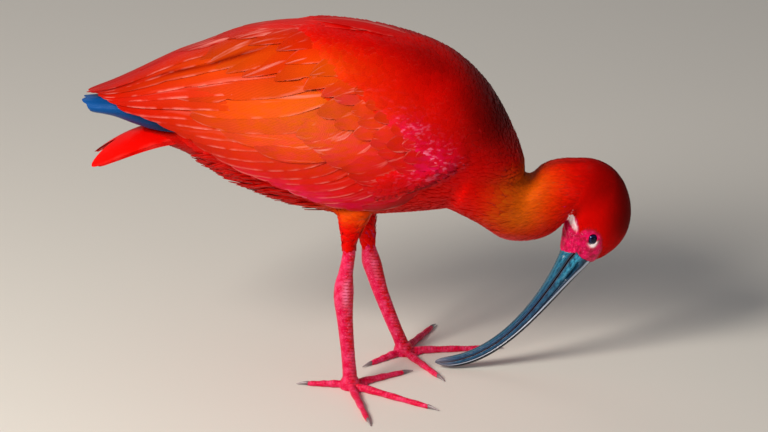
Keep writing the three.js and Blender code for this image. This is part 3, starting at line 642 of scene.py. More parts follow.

# Finishes

# Several colours here are painted light: the dark red is painted shade, the blush, the pale pink-white and the bright
# bill blue are painted highlights, the primaries' blue is a painted sheen, the legs' red marks their painted shaded
# side, and the gold is partly painted sunlight
colours = {
    "scarlet": "#d80301", "deepRed": "#5c0001", "underRed": "#b00201", "gold": "#d85c08", "pink": "#f01058",
    "blush": "#ffa69c", "redGloss": "#ff7858", "rosyFringe": "#ff5c6c", "skinGloss": "#ffa8b4",
    "blueGloss": "#9cc4ff", "eyeGloss": "#b0c4ff", "faceSkin": "#ee0060", "faceShade": "#ac0034",
    "faceLight": "#ff90b8", "paleSkin": "#fff0f2", "primaryDark": "#061428", "primaryBlue": "#104f96",
    "tailRed": "#e00602", "billTeal": "#0a6284", "billBlue": "#16466e", "billSlate": "#0a1422",
    "billLight": "#35b4dc", "billTip": "#807c8c", "leg": "#dc0044", "legLight": "#ff5890", "legDark": "#7a0012",
    "legRed": "#e00010", "claw": "#5c4c54", "clawTip": "#a4969a", "iris": "#06082a", "irisLight": "#101c50",
    "pupil": "#010108", "eyeRim": "#14051a",
}


def rgba(name):
    return toLinear(colours[name], 1.0)


# A table of adjustable values, as a dictionary for each named row
def tableOf(keys, rows):
    return {name: dict(zip(keys.split(), row)) for name, *row in rows}


# Feathers are silky keratin: soft gloss, fine barbs that run out from the shaft towards the tip, and a painted pale
# highlight along the rim.
# "vane" holds a point's place in its feather: across from -1 to 1, along from 0 to 1, and 1 on the underside.
feathers = tableOf("roughness barbs slant relief rim rimFrom strokes flecks tip spread lines pink", [
    ("covert", 0.42, 22, 5, 0.00006, 0.22, 0.78, 0.5, 0, 0.82, 0.1, 0.03, "pink"),
    ("body", 0.44, 9, 3, 0.00005, 0.03, 0.78, 0, 0.8, 0.96, 0.06, 0.06, "pink"),
    ("neck", 0.5, 5, 2, 0.00005, 0.06, 0.78, 0, 0, 0.95, 0.12, 0.06, "rosyFringe"),
    ("head", 0.5, 3, 2, 0.00003, 0.0, 0.78, 0, 0, 0.95, 0.05, 0.05, "pink"),
    ("wing", 0.4, 46, 9, 0.00005, 0.36, 0.74, 0.16, 0, 0.85, 0.08, 0.03, "pink"),
    ("tail", 0.42, 26, 9, 0.00003, 0.05, 0.78, 0, 0, 1.0, 0.03, 0.03, "pink"),
    ("primary", 0.3, 40, 9, 0.00008, 0.25, 0.78, 0, 0, 1.0, 0.1, 0.06, "pink"),
])


def plumage(kind, title, main="scarlet", dark="deepRed", glow="blush", gloss="redGloss"):
    looks = feathers[kind]
    material, add, shade = newMaterial(title, Roughness=looks["roughness"], Specular_IOR_Level=0.13,
                                       Specular_Tint=rgba(gloss))
    tone, gold, pink, deep = (add("Attribute", attribute_name=name).outputs["Fac"]
                              for name in ("tone", "gold", "pink", "deep"))
    across, along = add("SeparateXYZ", [add("Attribute", attribute_name="vane").outputs["Vector"]]).outputs[:2]
    out = add("Math", [across], operation="ABSOLUTE")
    place = add("TexCoord").outputs["Object"]
    drawn = add("Mapping", {"Vector": place, "Scale": (0.4, 1.0, 1.0)})
    stroke = add("TexNoise", {"Vector": drawn, "Scale": 260.0, "Detail": 3.0})  # strokes of 10 by 4 mm
    fleck = add("TexNoise", {"Vector": drawn, "Scale": 420.0, "Detail": 1.0})  # flecks of 6 by 2.5 mm
    # The painted pink highlights break into strokes, with pale flecks in them
    pinkness, flecks = (add("Math", [add("MapRange", share), pink], operation="MULTIPLY")
                        for share in ([stroke, 0.4, 0.58, 0.3, 1.0], [fleck, 0.56, 0.72, 0.0, looks["flecks"]]))
    rim = add("MapRange", [out, looks["rimFrom"], 1.0, 0.0, looks["rim"]], interpolation_type="SMOOTHSTEP")
    worn = add("TexNoise", {"Vector": place, "Scale": 75.0, "Detail": 2.0})  # the painted rim highlights show in places 13 mm apart
    rim = add("Math", [rim, add("MapRange", [worn, 0.45, 0.62])], operation="MULTIPLY")
    if looks["strokes"]:
        # Painted pale highlight strokes along some of the feathers, a few millimetres wide
        own = add("CombineXYZ", [across, along, add("Math", [tone, 40.0], operation="MULTIPLY")])
        run = add("Mapping", {"Vector": own, "Scale": (1.6, 1.3, 1.0)})
        pale = add("TexNoise", {"Vector": run, "Scale": 1.0, "Detail": 3.0, "Distortion": 0.4})
        rim = add("Math", [rim, add("MapRange", [pale, 0.58, 0.74, 0.0, looks["strokes"]])], operation="MAXIMUM")
    # Over the main colour: painted shade (on the primaries a painted blue sheen), the gold that is partly painted
    # sunlight, painted pink highlights with pale flecks, and painted rim highlights
    colour = rgba(main)
    for share, over in ((deep, dark), (gold, "gold"), (pinkness, looks["pink"]), (flecks, "faceLight"), (rim, glow)):
        colour = add("MixRGB", [share, colour, rgba(over)])
    cloud = add("TexNoise", {"Vector": place, "Scale": 38.0, "Detail": 3.0})  # patches of 25 mm
    run = add("Math", [along, looks["barbs"] * 2 * math.pi], operation="MULTIPLY")
    strand = add("Math", [out, -looks["slant"] * 2 * math.pi, run], operation="MULTIPLY_ADD")
    barb = add("Math", [add("Math", [strand], operation="SINE"), 0.5, 0.5], operation="MULTIPLY_ADD")
    tint = add("MapRange", [tone, 0.0, 1.0, 1 - looks["spread"], 1 + looks["spread"]])
    for other in (add("MapRange", [cloud, 0.3, 0.7, 0.92, 1.08]),
                  add("MapRange", [barb, 0.0, 1.0, 1 - looks["lines"], 1 + looks["lines"]]),
                  add("MapRange", [along, 0.62, 1.0, 1.0, looks["tip"]], interpolation_type="SMOOTHSTEP")):
        tint = add("Math", [tint, other], operation="MULTIPLY")
    height = add("Math", [add("MapRange", [out, 0.0, 0.07, 0.6, 0.0]), barb], operation="ADD")
    shade({"Base Color": add("VectorMath", {0: colour, "Scale": tint}, operation="SCALE"),
           "Normal": add("Bump", {"Height": height, "Distance": looks["relief"], "Strength": 0.6})})
    return material


# Skin under the feathers, and bare on the face: moist, finely grained, pink with pale specks, with a painted pale
# highlight up the throat and a pale crescent under the eye
def skinMaterial():
    material, add, shade = newMaterial("bird skin", Roughness=0.4, Subsurface_Weight=0.1, Subsurface_Scale=0.5,
                                       Subsurface_Radius=(0.004, 0.0012, 0.0008), Specular_IOR_Level=0.3,
                                       Specular_Tint=rgba("skinGloss"))
    gold, bare, pale = (add("Attribute", attribute_name=name).outputs["Fac"] for name in ("gold", "bare", "pale"))
    place = add("TexCoord").outputs["Object"]
    # Under the feathers the skin takes the same gold, partly painted sunlight
    under = add("MixRGB", [gold, rgba("underRed"), rgba("gold")])
    patch = add("TexNoise", {"Vector": place, "Scale": 260.0, "Detail": 4.0})  # blotches of 4 mm
    speck = add("TexNoise", {"Vector": place, "Scale": 900.0, "Detail": 2.0, "Distortion": 1.2})  # specks of 1 mm
    face = rgba("faceShade")
    for share, over in ((add("MapRange", [patch, 0.35, 0.65]), "faceSkin"),
                        (add("MapRange", [speck, 0.6, 0.76, 0.0, 0.6]), "faceLight"), (pale, "paleSkin")):
        face = add("MixRGB", [share, face, rgba(over)])
    # Grains of 1 mm
    grain = add("TexVoronoi", {"Vector": place, "Scale": 1100.0}, feature="SMOOTH_F1").outputs["Distance"]
    shade({"Base Color": add("MixRGB", [bare, under, face]),
           "Normal": add("Bump", {"Height": grain, "Distance": 0.00025, "Strength": 0.5})})
    return material


birdSkin = skinMaterial()
for skin in (bodySkin, headSkin):
    skin.data.materials.append(birdSkin)

# Small feathers

# A vane lying flat, closed with a thin underside: roots at 0, tips at 1, with its share of the width at each place
roundVane = [(0.0, 0.35), (0.3, 0.85), (0.62, 1.0), (0.86, 0.78), (1.0, 0.3)]
slimVane = [(0.0, 0.4), (0.4, 1.0), (0.8, 0.75), (1.0, 0.15)]


def smallVane(name, shape):
    shares = dict(shape)
    marks = [(u, t, below) for below, columns in ((0, (-1, 0, 1)), (1, (-1, 1))) for t in shares for u in columns]
    faces, rows = [], len(shape)
    for i in range(rows - 1):
        a, c = i * 3, rows * 3 + i * 2
        faces += [(a, a + 1, a + 4, a + 3), (a + 1, a + 2, a + 5, a + 4), (c + 1, c, c + 2, c + 3),
                  (a, a + 3, c + 2, c), (a + 2, c + 1, c + 3, a + 5)]
    last, lastUnder = rows * 3 - 3, rows * 5 - 2
    faces += [(0, rows * 3, rows * 3 + 1, 2, 1), (last, last + 1, last + 2, lastUnder + 1, lastUnder)]
    mesh = bpy.data.meshes.new(name)
    mesh.from_pydata([(u * shares[t] * 0.5, t, -0.02 * below) for u, t, below in marks], [], faces)
    mesh.shade_smooth()
    setMarks(mesh, vane=marks)
    return addToScene(name, mesh)


coatSizes = ("Spacing", "Length", "Width", "Sink", "Rise", "Thickness", "Camber", "Jitter")


# Scatters vanes over a skin along its lie, then lays every point of them back on the skin at its own height
def coatTree():
    tree = bpy.data.node_groups.new("coatOfVanes", "GeometryNodeTree")
    add = partial(addNode, tree)
    sockets = [("Geometry", "Geometry"), ("Vane", "Object"), ("Seed", "Int"), ("Finish", "Material")]
    for label, kind in sockets + [(label, "Float") for label in ("Grow", "Turn", "Silk", *coatSizes)]:
        tree.interface.new_socket(label, in_out="INPUT", socket_type="NodeSocket" + kind)
    tree.interface.new_socket("Geometry", in_out="OUTPUT", socket_type="NodeSocketGeometry")
    given = add("NodeGroupInput").outputs
    skin, sink = given["Geometry"], given["Sink"]
    stored = {name: add("GeometryNodeInputNamedAttribute", {"Name": name}, data_type=kind).outputs["Attribute"]
              for kind, names in (("FLOAT_VECTOR", "lie outward unwrap vane"), ("FLOAT", "size growth tone"))
              for name in names.split()}
    scatter = add("GeometryNodeDistributePointsOnFaces", {
        "Mesh": skin, "Distance Min": given["Spacing"], "Density Max": 4.0e6, "Density Factor": given["Grow"],
        "Seed": given["Seed"]}, distribute_method="POISSON")
    upright = add("FunctionNodeAlignRotationToVector", {"Vector": scatter.outputs["Normal"]}, axis="Z")
    lying = add("FunctionNodeAlignRotationToVector", {"Rotation": upright, "Vector": stored["lie"]}, axis="Y",
                pivot_axis="Z")
    swing, large, tone = (
        add("FunctionNodeRandomValue", {2: low, 3: high, "Seed": add("Math", [given["Seed"], shift], operation="ADD")},
            data_type="FLOAT").outputs[1] for shift, low, high in ((0, -1.0, 1.0), (11, 0.85, 1.15), (23, 0.0, 1.0)))
    swing = add("Math", [swing, given["Turn"]], operation="MULTIPLY")
    spin = add("FunctionNodeEulerToRotation", [add("CombineXYZ", {"Z": swing})])
    size = add("Math", [stored["size"], large], operation="MULTIPLY")
    wide, long = (add("Math", [size, given[label]], operation="MULTIPLY") for label in ("Width", "Length"))
    ready = scatter
    for name, value in (("tone", tone), ("growth", stored["size"])):
        ready = add("GeometryNodeStoreNamedAttribute", {"Geometry": ready, "Name": name, "Value": value},
                    data_type="FLOAT", domain="POINT")
    placed = add("GeometryNodeInstanceOnPoints", {
        "Points": ready, "Instance": add("GeometryNodeObjectInfo", {"Object": given["Vane"]}).outputs["Geometry"],
        "Rotation": add("FunctionNodeRotateRotation", [lying, spin], rotation_space="LOCAL"),
        "Scale": add("CombineXYZ", [wide, long, 0.001])})
    here = add("GeometryNodeInputPosition")
    onSkin, outward = (add("GeometryNodeSampleNearestSurface", {"Mesh": skin, "Value": value, "Sample Position": here},
                           data_type="FLOAT_VECTOR").outputs["Value"] for value in (here, stored["outward"]))
    across, along, below = add("SeparateXYZ", [stored["vane"]]).outputs
    height = add("Math", [along, add("Math", [given["Rise"], sink], operation="ADD")], operation="MULTIPLY")
    height = add("Math", [height, sink], operation="SUBTRACT")
    height = add("Math", [height, stored["growth"]], operation="MULTIPLY")
    aboutMiddle = add("Math", [stored["tone"], 0.5], operation="SUBTRACT")
    height = add("Math", [aboutMiddle, given["Jitter"], height], operation="MULTIPLY_ADD")
    outSquared = add("Math", [across, across], operation="MULTIPLY")
    for share, depth in ((outSquared, given["Camber"]), (below, given["Thickness"])):
        height = add("Math", [height, add("Math", [share, depth], operation="MULTIPLY")], operation="SUBTRACT")
    lift = add("VectorMath", {0: outward, "Scale": height}, operation="SCALE")
    settled = add("GeometryNodeSetPosition", {"Geometry": add("GeometryNodeRealizeInstances", [placed]),
                                              "Position": add("VectorMath", [onSkin, lift], operation="ADD")})
    # Silky plumage takes the light as one surface, so each vane's normals lean towards the skin's
    facing = add("Math", [below, -2.0, 1.0], operation="MULTIPLY_ADD")
    asSkin = add("VectorMath", {0: outward, "Scale": facing}, operation="SCALE")
    silky = add("Mix", {0: given["Silk"], 4: add("GeometryNodeInputNormal"), 5: asSkin}, data_type="VECTOR").outputs[1]
    settled = add("GeometryNodeSetMeshNormal", {"Mesh": settled, "Custom Normal": silky}, mode="FREE")
    patch = add("CombineXYZ", [add("Math", [share, reach], operation="MULTIPLY")
                               for share, reach in ((along, 0.003), (across, 0.0015))])
    bakeAt = add("VectorMath", [stored["unwrap"], patch], operation="ADD")
    mapped = add("GeometryNodeStoreNamedAttribute", {"Geometry": settled, "Name": "OFBake", "Value": bakeAt},
                 data_type="FLOAT2", domain="CORNER")
    add("NodeGroupOutput", [add("GeometryNodeSetMaterial", {"Geometry": mapped, "Material": given["Finish"]})])
    return tree


# Millimetres, apart from the turn in degrees. Spacing is the least distance between two roots, sink the depth of
# a root and rise the height of a tip. Silk is how far a vane takes the light as the skin does.
coats = tableOf("skin grow shape kind title spacing length width sink rise thickness camber jitter turn silk seed", [
    ("body_coat", bodySkin, "growBody", roundVane, "body", "silky body feathers",
     2.7, 15.0, 8.0, 0.5, 1.5, 0.15, 0.2, 0.12, 6, 0.85, 3),
    ("breast_coat", bodySkin, "growBreast", slimVane, "body", "breast and belly feathers",
     2.0, 13.0, 4.0, 0.5, 1.1, 0.14, 0.15, 0.07, 7, 0.87, 8),
    ("neck_coat", bodySkin, "growNeck", slimVane, "neck", "short neck feathers",
     1.12, 7.2, 1.6, 0.3, 0.95, 0.09, 0.05, 0.08, 9, 0.86, 5),
    ("thigh_coat", bodySkin, "growThigh", slimVane, "neck", "thigh feathers",
     1.9, 9.5, 3.6, 0.3, 1.2, 0.16, 0.2, 0.25, 12, 0.5, 9),
    ("flank_coat", bodySkin, "growFlank", slimVane, "neck", "loose flank feathers",
     3.6, 19.0, 5.2, 0.6, 3.6, 0.16, 0.3, 1.3, 20, 0.4, 12),
    ("head_coat", headSkin, "growHead", slimVane, "head", "velvety head feathers",
     0.75, 4.4, 1.1, 0.15, 0.6, 0.06, 0.03, 0.08, 8, 0.88, 4),
])


def growCoat(name, sizes, tree):
    ground = addToScene(name + "Ground", sizes["skin"].data.copy())
    vane, finish = smallVane(name + "Vane", sizes["shape"]), plumage(sizes["kind"], sizes["title"])
    modifier = ground.modifiers.new("coat", "NODES")
    modifier.node_group = tree
    identifiers = {item.name: item.identifier for item in tree.interface.items_tree if item.in_out == "INPUT"}
    values = {label: sizes[label.lower()] * 0.001 for label in coatSizes}
    values.update(Turn=math.radians(sizes["turn"]), Silk=sizes["silk"], Seed=sizes["seed"], Vane=vane, Finish=finish)
    for label, value in values.items():
        modifier[identifiers[label]] = value
    modifier[identifiers["Grow"] + "_use_attribute"] = True
    modifier[identifiers["Grow"] + "_attribute_name"] = sizes["grow"]
    made = evaluated(ground, name)
    bpy.data.objects.remove(vane)
    made.data.materials.clear()
    made.data.materials.append(finish)
    print(name, len(made.data.polygons), "faces")
    return made


tree = coatTree()
coatPieces = [growCoat(name, sizes, tree) for name, sizes in coats.items()]

# Big feathers

vaneSizes = {"across": (-1, -0.86, -0.6, -0.3, -0.07, 0, 0.07, 0.3, 0.6, 0.86, 1), "rimThickness": 0.14,
             "middleThickness": 0.34, "shaft": 0.16, "camber": 0.3, "silk": 0.55, "notch": 0.1}
sides = ((-1, "r"), (1, "l"))
# Places are (x, angle) on a form, for the first feather of a row and the last, sometimes with one between. A depth
# is under the form, at root and tip. A vane narrows past blunt, to a tip that is round at point 0.5, sharper above.
featherRows = tableOf("piece count stations roots tips widths bows depths blunt tilt point stray", [
    ("secondaries", "wing_flight", 14, 26, ((24, -34), (-50, 20)), ((-16, -50), (-190, 17)),
     (7.6, 9), (-6, -3), (4.4, 1.5), 0.82, 1.0, 0.5, 1.2),
    ("tertials", "wing_flight", 6, 26, ((-28, 25), (-34, 78)), ((-196, 26), (-211, 80)),
     (8.6, 10), (-3, 0), (4.0, 0.5), 0.62, 1.0, 0.5, 1.2),
    ("innerCoverts", "wing_coverts", 5, 20, ((-16, 2), (-24, 18), (-34, 38)), ((-92, -10), (-136, 5), (-152, 28)),
     (9, 10.4), (-4, -2), (3.5, 1.1), 0.66, 0.7, 0.6, 3),
    ("greaterCoverts", "wing_coverts", 8, 20, ((20, -14), (-22, 22)), ((-19, -23), (-64, 3)),
     (8, 9), (-2, -2), (3.6, 1.2), 0.5, 0.5, 0.6, 2.4),
    ("medianCoverts", "wing_coverts", 7, 20, ((38, -7), (18, 10), (-12, 28)), ((8, -15), (-12, 0), (-46, 17)),
     (7.6, 8.6), (-2, -1), (3.6, 1.2), 0.42, 0.3, 0.6, 2.4),
    ("lesserCoverts", "wing_coverts", 7, 14, ((45, -5), (-9, 33)), ((20, -13), (-34, 25)),
     (7.6, 7.6), (-1, -1), (3.4, 0.9), 0.36, 0.2, 0.6, 2.6),
    ("smallCoverts", "wing_coverts", 7, 14, ((52, -4.96), (0, 38.04)), ((30, -12), (-22, 31)),
     (6.8, 6.8), (-1, -1), (3.4, 0.9), 0.36, 0.2, 0.6, 2.6),
    ("scapulars", "scapulars", 8, 22, ((-66, 84), (-44, 62), (6, 44)), ((-130, 60), (-106, 38), (-42, 27)),
     (12.5, 10.5), (4, 3), (3.2, 1.1), 0.36, 0.4, 0.8, 4),
    ("upperScapulars", "scapulars", 6, 20, ((-56, 88), (-34, 74), (-6, 54)), ((-112, 80), (-86, 60), (-56, 41)),
     (12, 10.5), (4, 2), (3.0, 0.8), 0.32, 0.3, 0.85, 5),
    ("back", "scapulars", 6, 22, ((30, 90), (-90, 90)), ((-50, 90), (-172, 90)),
     (13, 12), (0, 0), (3.0, 0.9), 0.4, 0, 0.8, 1.2),
    ("primaries", "primaries", 6, 26, ((-104, 16), (-104, 40)), ((-206, -40), (-214, 66)),
     (5.6, 8.5), (0, 0), (1.4, 0.0), 0.86, 0.5, 0.5, 1.2),
])


# A place along a row of two or three, at t from 0 to 1
def mix(row, t):
    row = np.asarray(row, float)
    k = min(int(t * (len(row) - 1)), len(row) - 2)
    share = t * (len(row) - 1) - k
    return row[k] * (1 - share) + row[k + 1] * share


# Places along a vane, closer together towards its tip
def stationsAlong(count):
    return 1 - (1 - np.linspace(0, 1, count))**1.35


# A vane's share of its half width
def widthShare(t, blunt, point):
    past = np.clip((t - blunt) / (1 - blunt), 0, 1)
    return (0.42 + 0.58 * smoothStep(t, 0, 0.4)) * np.maximum(1 - past**2, 0.004)**point


# How far a form's surface goes along x and round it, for a step of 1 in x and in angle
def stepsOn(table, x, angle, height, side):
    return [onForm(table, x + dx, angle + turn, height, side) - onForm(table, x - dx, angle - turn, height, side)
            for dx, turn in ((0.5, 0), (0, 0.5))]


# One feather on a form
def feather(table, side, row, root, tip, width, bow):
    t, u = stationsAlong(row["stations"]), np.array(vaneSizes["across"])
    x, angle = between(root[0], tip[0], t), between(root[1], tip[1], t) + bow * 4 * t * (1 - t)
    alongX, alongAngle = stepsOn(table, x, angle, 0, 1)
    across = unit(np.cross(np.cross(alongAngle, alongX), np.gradient(onForm(table, x, angle, 0, 1), axis=0)))
    across *= np.sign(dot(across, alongAngle))[:, None]
    a, b, c = dot(alongX, alongX), dot(alongX, alongAngle), dot(alongAngle, alongAngle)
    p, q = dot(across, alongX), dot(across, alongAngle)
    tone = rng.random()
    ragged = np.ones((len(t), len(u)))
    for place in rng.integers(int(len(t) * 0.45), len(t) - 2, 3):
        ragged[place, 0 if rng.random() < 0.6 else -1] -= rng.uniform(0.3, 1.0) * vaneSizes["notch"]
    half = width * widthShare(t, row["blunt"], row["point"]) * (1 + rng.uniform(-0.06, 0.06))
    depth = between(*row["depths"], smoothStep(t, -0.1, 0.9)) + 0.25 * (tone - 0.5)
    reach = u * half[:, None] * ragged
    xs = x[:, None] + reach * ((p * c - q * b) / (a * c - b * b))[:, None]
    angles = angle[:, None] + reach * ((q * a - p * b) / (a * c - b * b))[:, None]
    height = -depth[:, None] - row["tilt"] * u * np.minimum(1, half / width + 0.2)[:, None] - vaneSizes["camber"] * u**2
    height += vaneSizes["shaft"] * (np.abs(u) < 0.03) * (1 - t[:, None] * 0.7)
    height += 0.1 * np.sin(t * 9 + tone * 20)[:, None] * u
    stepX, stepAngle = stepsOn(table, xs, angles, height, side)
    top, under = (onForm(table, xs, angles, height - thick, side) for thick in (0, thicknessAt(u)))
    return closedVane(top, under, np.cross(stepAngle, stepX) * side, t, u, tone)


def thicknessAt(u):
    return between(vaneSizes["rimThickness"], vaneSizes["middleThickness"], (1 - np.abs(u))**2)


# A feather's upper and lower faces closed round the rim, with normals that lean towards the surface it lies on
def closedVane(top, under, surface, t, u, tone):
    rows, columns = top.shape[:2]
    count = rows * columns
    faces = []
    for start in range(0, count - columns, columns):
        for a in range(start, start + columns - 1):
            b = a + columns
            faces += [(a, b, b + 1, a + 1), (count + a, count + a + 1, count + b + 1, count + b)]
    rim = [*range(0, count - columns, columns), *range(count - columns, count - 1),
           *range(count - 1, columns - 1, -columns), *range(columns - 1, 0, -1)]
    faces += [(b, a, count + a, count + b) for a, b in zip(rim, rim[1:] + rim[:1])]
    own, surface = unit(np.cross(np.gradient(top, axis=0), np.gradient(top, axis=1))), unit(surface)
    if (own * surface).sum() < 0:
        own = -own
        faces = [face[::-1] for face in faces]
    normals = (own * (1 - vaneSizes["silk"]) + surface * vaneSizes["silk"]).reshape(-1, 3)
    vane = np.concatenate([stacked(u, t[:, None], below).reshape(-1, 3) for below in (0.0, 1.0)])
    return {"points": np.concatenate([top.reshape(-1, 3), under.reshape(-1, 3)]), "faces": faces,
            "normals": np.concatenate([normals, -normals]), "vane": vane, "tone": np.full(2 * count, tone)}


# Joins feathers into one piece, with the markings mostly at each feather's own middle, and a cell of OFBake for each
def featherPiece(name, made, finish, marked=markings):
    cells = math.ceil(math.sqrt(len(made) / 4))
    wide, high = 0.98 / cells, 0.98 / math.ceil(len(made) / cells)
    for k, one in enumerate(made):
        u, t, below = one["vane"].T
        one["centres"] = one["points"] * 0.55 + one["points"].mean(axis=0) * 0.45
        one["unwrap"] = stacked(0.01 + wide * (k % cells + 0.03 + 0.94 * t),
                                0.01 + high * (k // cells + 0.5 + 0.2 * u + np.where(below > 0, 0.22, -0.22)))
    points, faces = joinedParts([(one["points"], one["faces"]) for one in made])
    mesh = makeMesh(name, points, faces)
    normals, vane, tone, centres, unwrap = (np.concatenate([one[key] for one in made])
                                            for key in ("normals", "vane", "tone", "centres", "unwrap"))
    mesh.normals_split_custom_set_from_vertices(normals)
    # A painted shadow along the gap between the long upper feathers, which also takes the gold out there
    gap = tertialGap(points)
    gold, pink, deep = marked(centres)
    setMarks(mesh, vane=vane, tone=tone, gold=gold * (1 - gap), pink=pink, deep=np.maximum(deep, gap))
    corners = np.empty(len(mesh.loops), dtype=np.int32)
    mesh.loops.foreach_get("vertex_index", corners)
    mesh.uv_layers.new(name="OFBake").data.foreach_set("uv", unwrap[corners].ravel())
    mesh.materials.append(finish)
    print(name, len(made), "feathers", len(faces), "faces")
    return addToScene(name, mesh)


# The feathers of a piece on one side. The row on the back belongs to the right side
def feathersOf(table, side, piece):
    made = []
    for name, row in featherRows.items():
        if row["piece"] != piece or (name == "back" and side > 0):
            continue
        for t in np.linspace(0, 1, row["count"]):
            root, tip = mix(row["roots"], t), mix(row["tips"], t)
            if name == "secondaries":
                tip[1] = edgeAt(tip[0]) + 4.0
            root += rng.uniform(-0.8, 0.8, 2)
            tip += rng.uniform(-1, 1, 2) * (row["stray"], row["stray"] * 0.5)
            made.append(feather(table, side, row, root, tip, mix(row["widths"], t), mix(row["bows"], t)))
    return made


wingFinish, covertFinish = plumage("wing", "wing feathers"), plumage("covert", "wing coverts")
wingPieces = {key: [featherPiece(f"{piece}_{key}", feathersOf(outerForm, side, piece), finish) for piece, finish in
                    (("wing_flight", wingFinish), ("wing_coverts", covertFinish), ("scapulars", covertFinish))]
              for side, key in sides}


# The folded ends of the wings: dark and glossy, with a painted blue sheen towards the tips
def blueTowardsTip(points):
    blue = smoothStep(-points[:, 0], 150, 196)
    return 0 * blue, 0 * blue, blue


primaryFinish = plumage("primary", "glossy flight feathers", "primaryDark", "primaryBlue", "primaryBlue", "blueGloss")
primaryPieces = {key: featherPiece(f"primaries_{key}_vanes", feathersOf(foldedForm, side, "primaries"), primaryFinish,
                                   blueTowardsTip) for side, key in sides}

# The tail: pairs of feathers in a low fan, the middle pair on top
tailFan = {"pairs": 6, "root": -122, "reach": -208, "level": -148.6, "ridge": 187.5, "fall": 24, "drop": 12,
           "halfWidth": 26, "widths": (13.5, 8.5), "blunt": 0.5, "point": 0.62, "layer": 0.22, "rootAside": (3, 9),
           "tipAside": (12.6, 17), "shortening": 8, "stations": 26}


def tailFeather(k):
    side, rank = (1 if k % 2 else -1), (k // 2) / (tailFan["pairs"] - 1)
    t, u = stationsAlong(tailFan["stations"])[:, None], np.array(vaneSizes["across"])
    tone = rng.random()
    reach = tailFan["reach"] + tailFan["shortening"] * rank**2 + rng.uniform(-0.8, 0.8)
    x = between(tailFan["root"], reach, t)
    y = side * (mix(tailFan["rootAside"], rank) * (1 - t) + mix(tailFan["tipAside"], rank) * t)
    y = y + mix(tailFan["widths"], rank) * widthShare(t, tailFan["blunt"], tailFan["point"]) * u
    fallen = (tailFan["level"] - x) / (tailFan["level"] - tailFan["reach"])
    z = tailFan["ridge"] - tailFan["fall"] * fallen * np.abs(fallen) - tailFan["drop"] * (y / tailFan["halfWidth"])**2
    z = z - tailFan["layer"] * k - 0.12 * u**2 + 0.1 * (np.abs(u) < 0.03) - side * 0.1 * u
    downTail = 2 * tailFan["fall"] * np.abs(fallen) / (tailFan["level"] - tailFan["reach"])
    surface = stacked(-downTail, 2 * tailFan["drop"] * y / tailFan["halfWidth"]**2, 1.0)
    return closedVane(stacked(x, y, z), stacked(x, y, z - thicknessAt(u)), surface, t[:, 0], u, tone)


def plainMarks(points):
    return np.zeros((3, len(points)))


tailPiece = featherPiece("tail_vanes", [tailFeather(k) for k in range(2 * tailFan["pairs"])],
                         plumage("tail", "tail feathers", "tailRed"), plainMarks)
print("feathers made")

# Bill

bill = {
    "culmen": [(149.4, 80.2), (121.4, 51.8), (81.8, -10), (38.5, -1.3)],
    "mouth": [(138.5, 93.2), (112.6, 50.9), (87.4, 4.1), (37.1, 1.7)],
    "lowerEdge": [(127.2, 89), (114, 50.8), (79, 4.2), (36.7, 5.3)],
    "width": 7.6, "tipWidth": 2.4, "steps": 150, "mouthGap": 0.15, "start": -0.06, "overFace": 0.15,
    "upperSection": [(0, 0), (0.03, 0.24), (0.12, 0.7), (0.24, 0.93), (0.38, 1.0), (0.455, 0.9), (0.49, 0.84),
                     (0.53, 0.9), (0.62, 1.0), (0.85, 1.0), (0.97, 0.95), (1, 0.86)],
    "lowerSection": [(0, 0), (0.04, 0.24), (0.14, 0.7), (0.3, 0.95), (0.55, 1.02), (0.85, 1.0), (0.97, 0.95),
                     (1, 0.86)],
    "groove": {"at": 0.485, "width": 0.05},
    "nostril": {"middle": 0.1025, "halfLength": 0.0475, "share": 0.47, "depth": 1.1, "width": 0.05},
}
# The colours across each half of the bill, from its outer edge (0) to the mouth (1): place, colour, how much it covers
billBands = {
    # On the upper half the pale bands by the ridge are a painted highlight
    "upper": [(0.0, "#12100e", 0.9), (0.1, "#1c1a1c", 0.9), (0.17, "#d4dcec", 0.9), (0.23, "#b8c4dc", 0.8),
              (0.28, "#0a1830", 0.9), (0.42, "#0a1c38", 0.7), (0.54, "#0a2434", 0.1), (0.86, "#0a2434", 0.0),
              (0.92, "#4c2430", 0.4), (0.97, "#120408", 1.0)],
    "lower": [(0.0, "#0c1a24", 0.6), (0.1, "#2c7c92", 0.4), (0.22, "#0a2434", 0.1), (0.66, "#0a2434", 0.1),
              (0.8, "#08111c", 0.6), (0.91, "#6a3038", 0.4), (0.96, "#120408", 1.0)],
}


def bezier(points, t):
    a, b, c, d = np.array(points, float)
    return a * (1 - t)**3 + 3 * b * t * (1 - t)**2 + 3 * c * t**2 * (1 - t) + d * t**3


# Half the width of the head's form at places (x, z) of its middle plane
def headWidthAt(places):
    middle, up, width = neckAt(np.linspace(11, len(neckForm) - 1, 90))
    middle, up = middle[:, ::2], up[:, ::2]
    offset = places[:, None, :] - middle
    away = np.abs(offset[..., 0] * up[:, 1] - offset[..., 1] * up[:, 0]) / np.linalg.norm(up, axis=1)
    nearest = away.argmin(axis=1)
    share = dot(offset[np.arange(len(places)), nearest], up[nearest]) / (up[nearest]**2).sum(axis=1)
    return width[nearest] * np.sqrt(np.clip(1 - share**2, 0, 1))


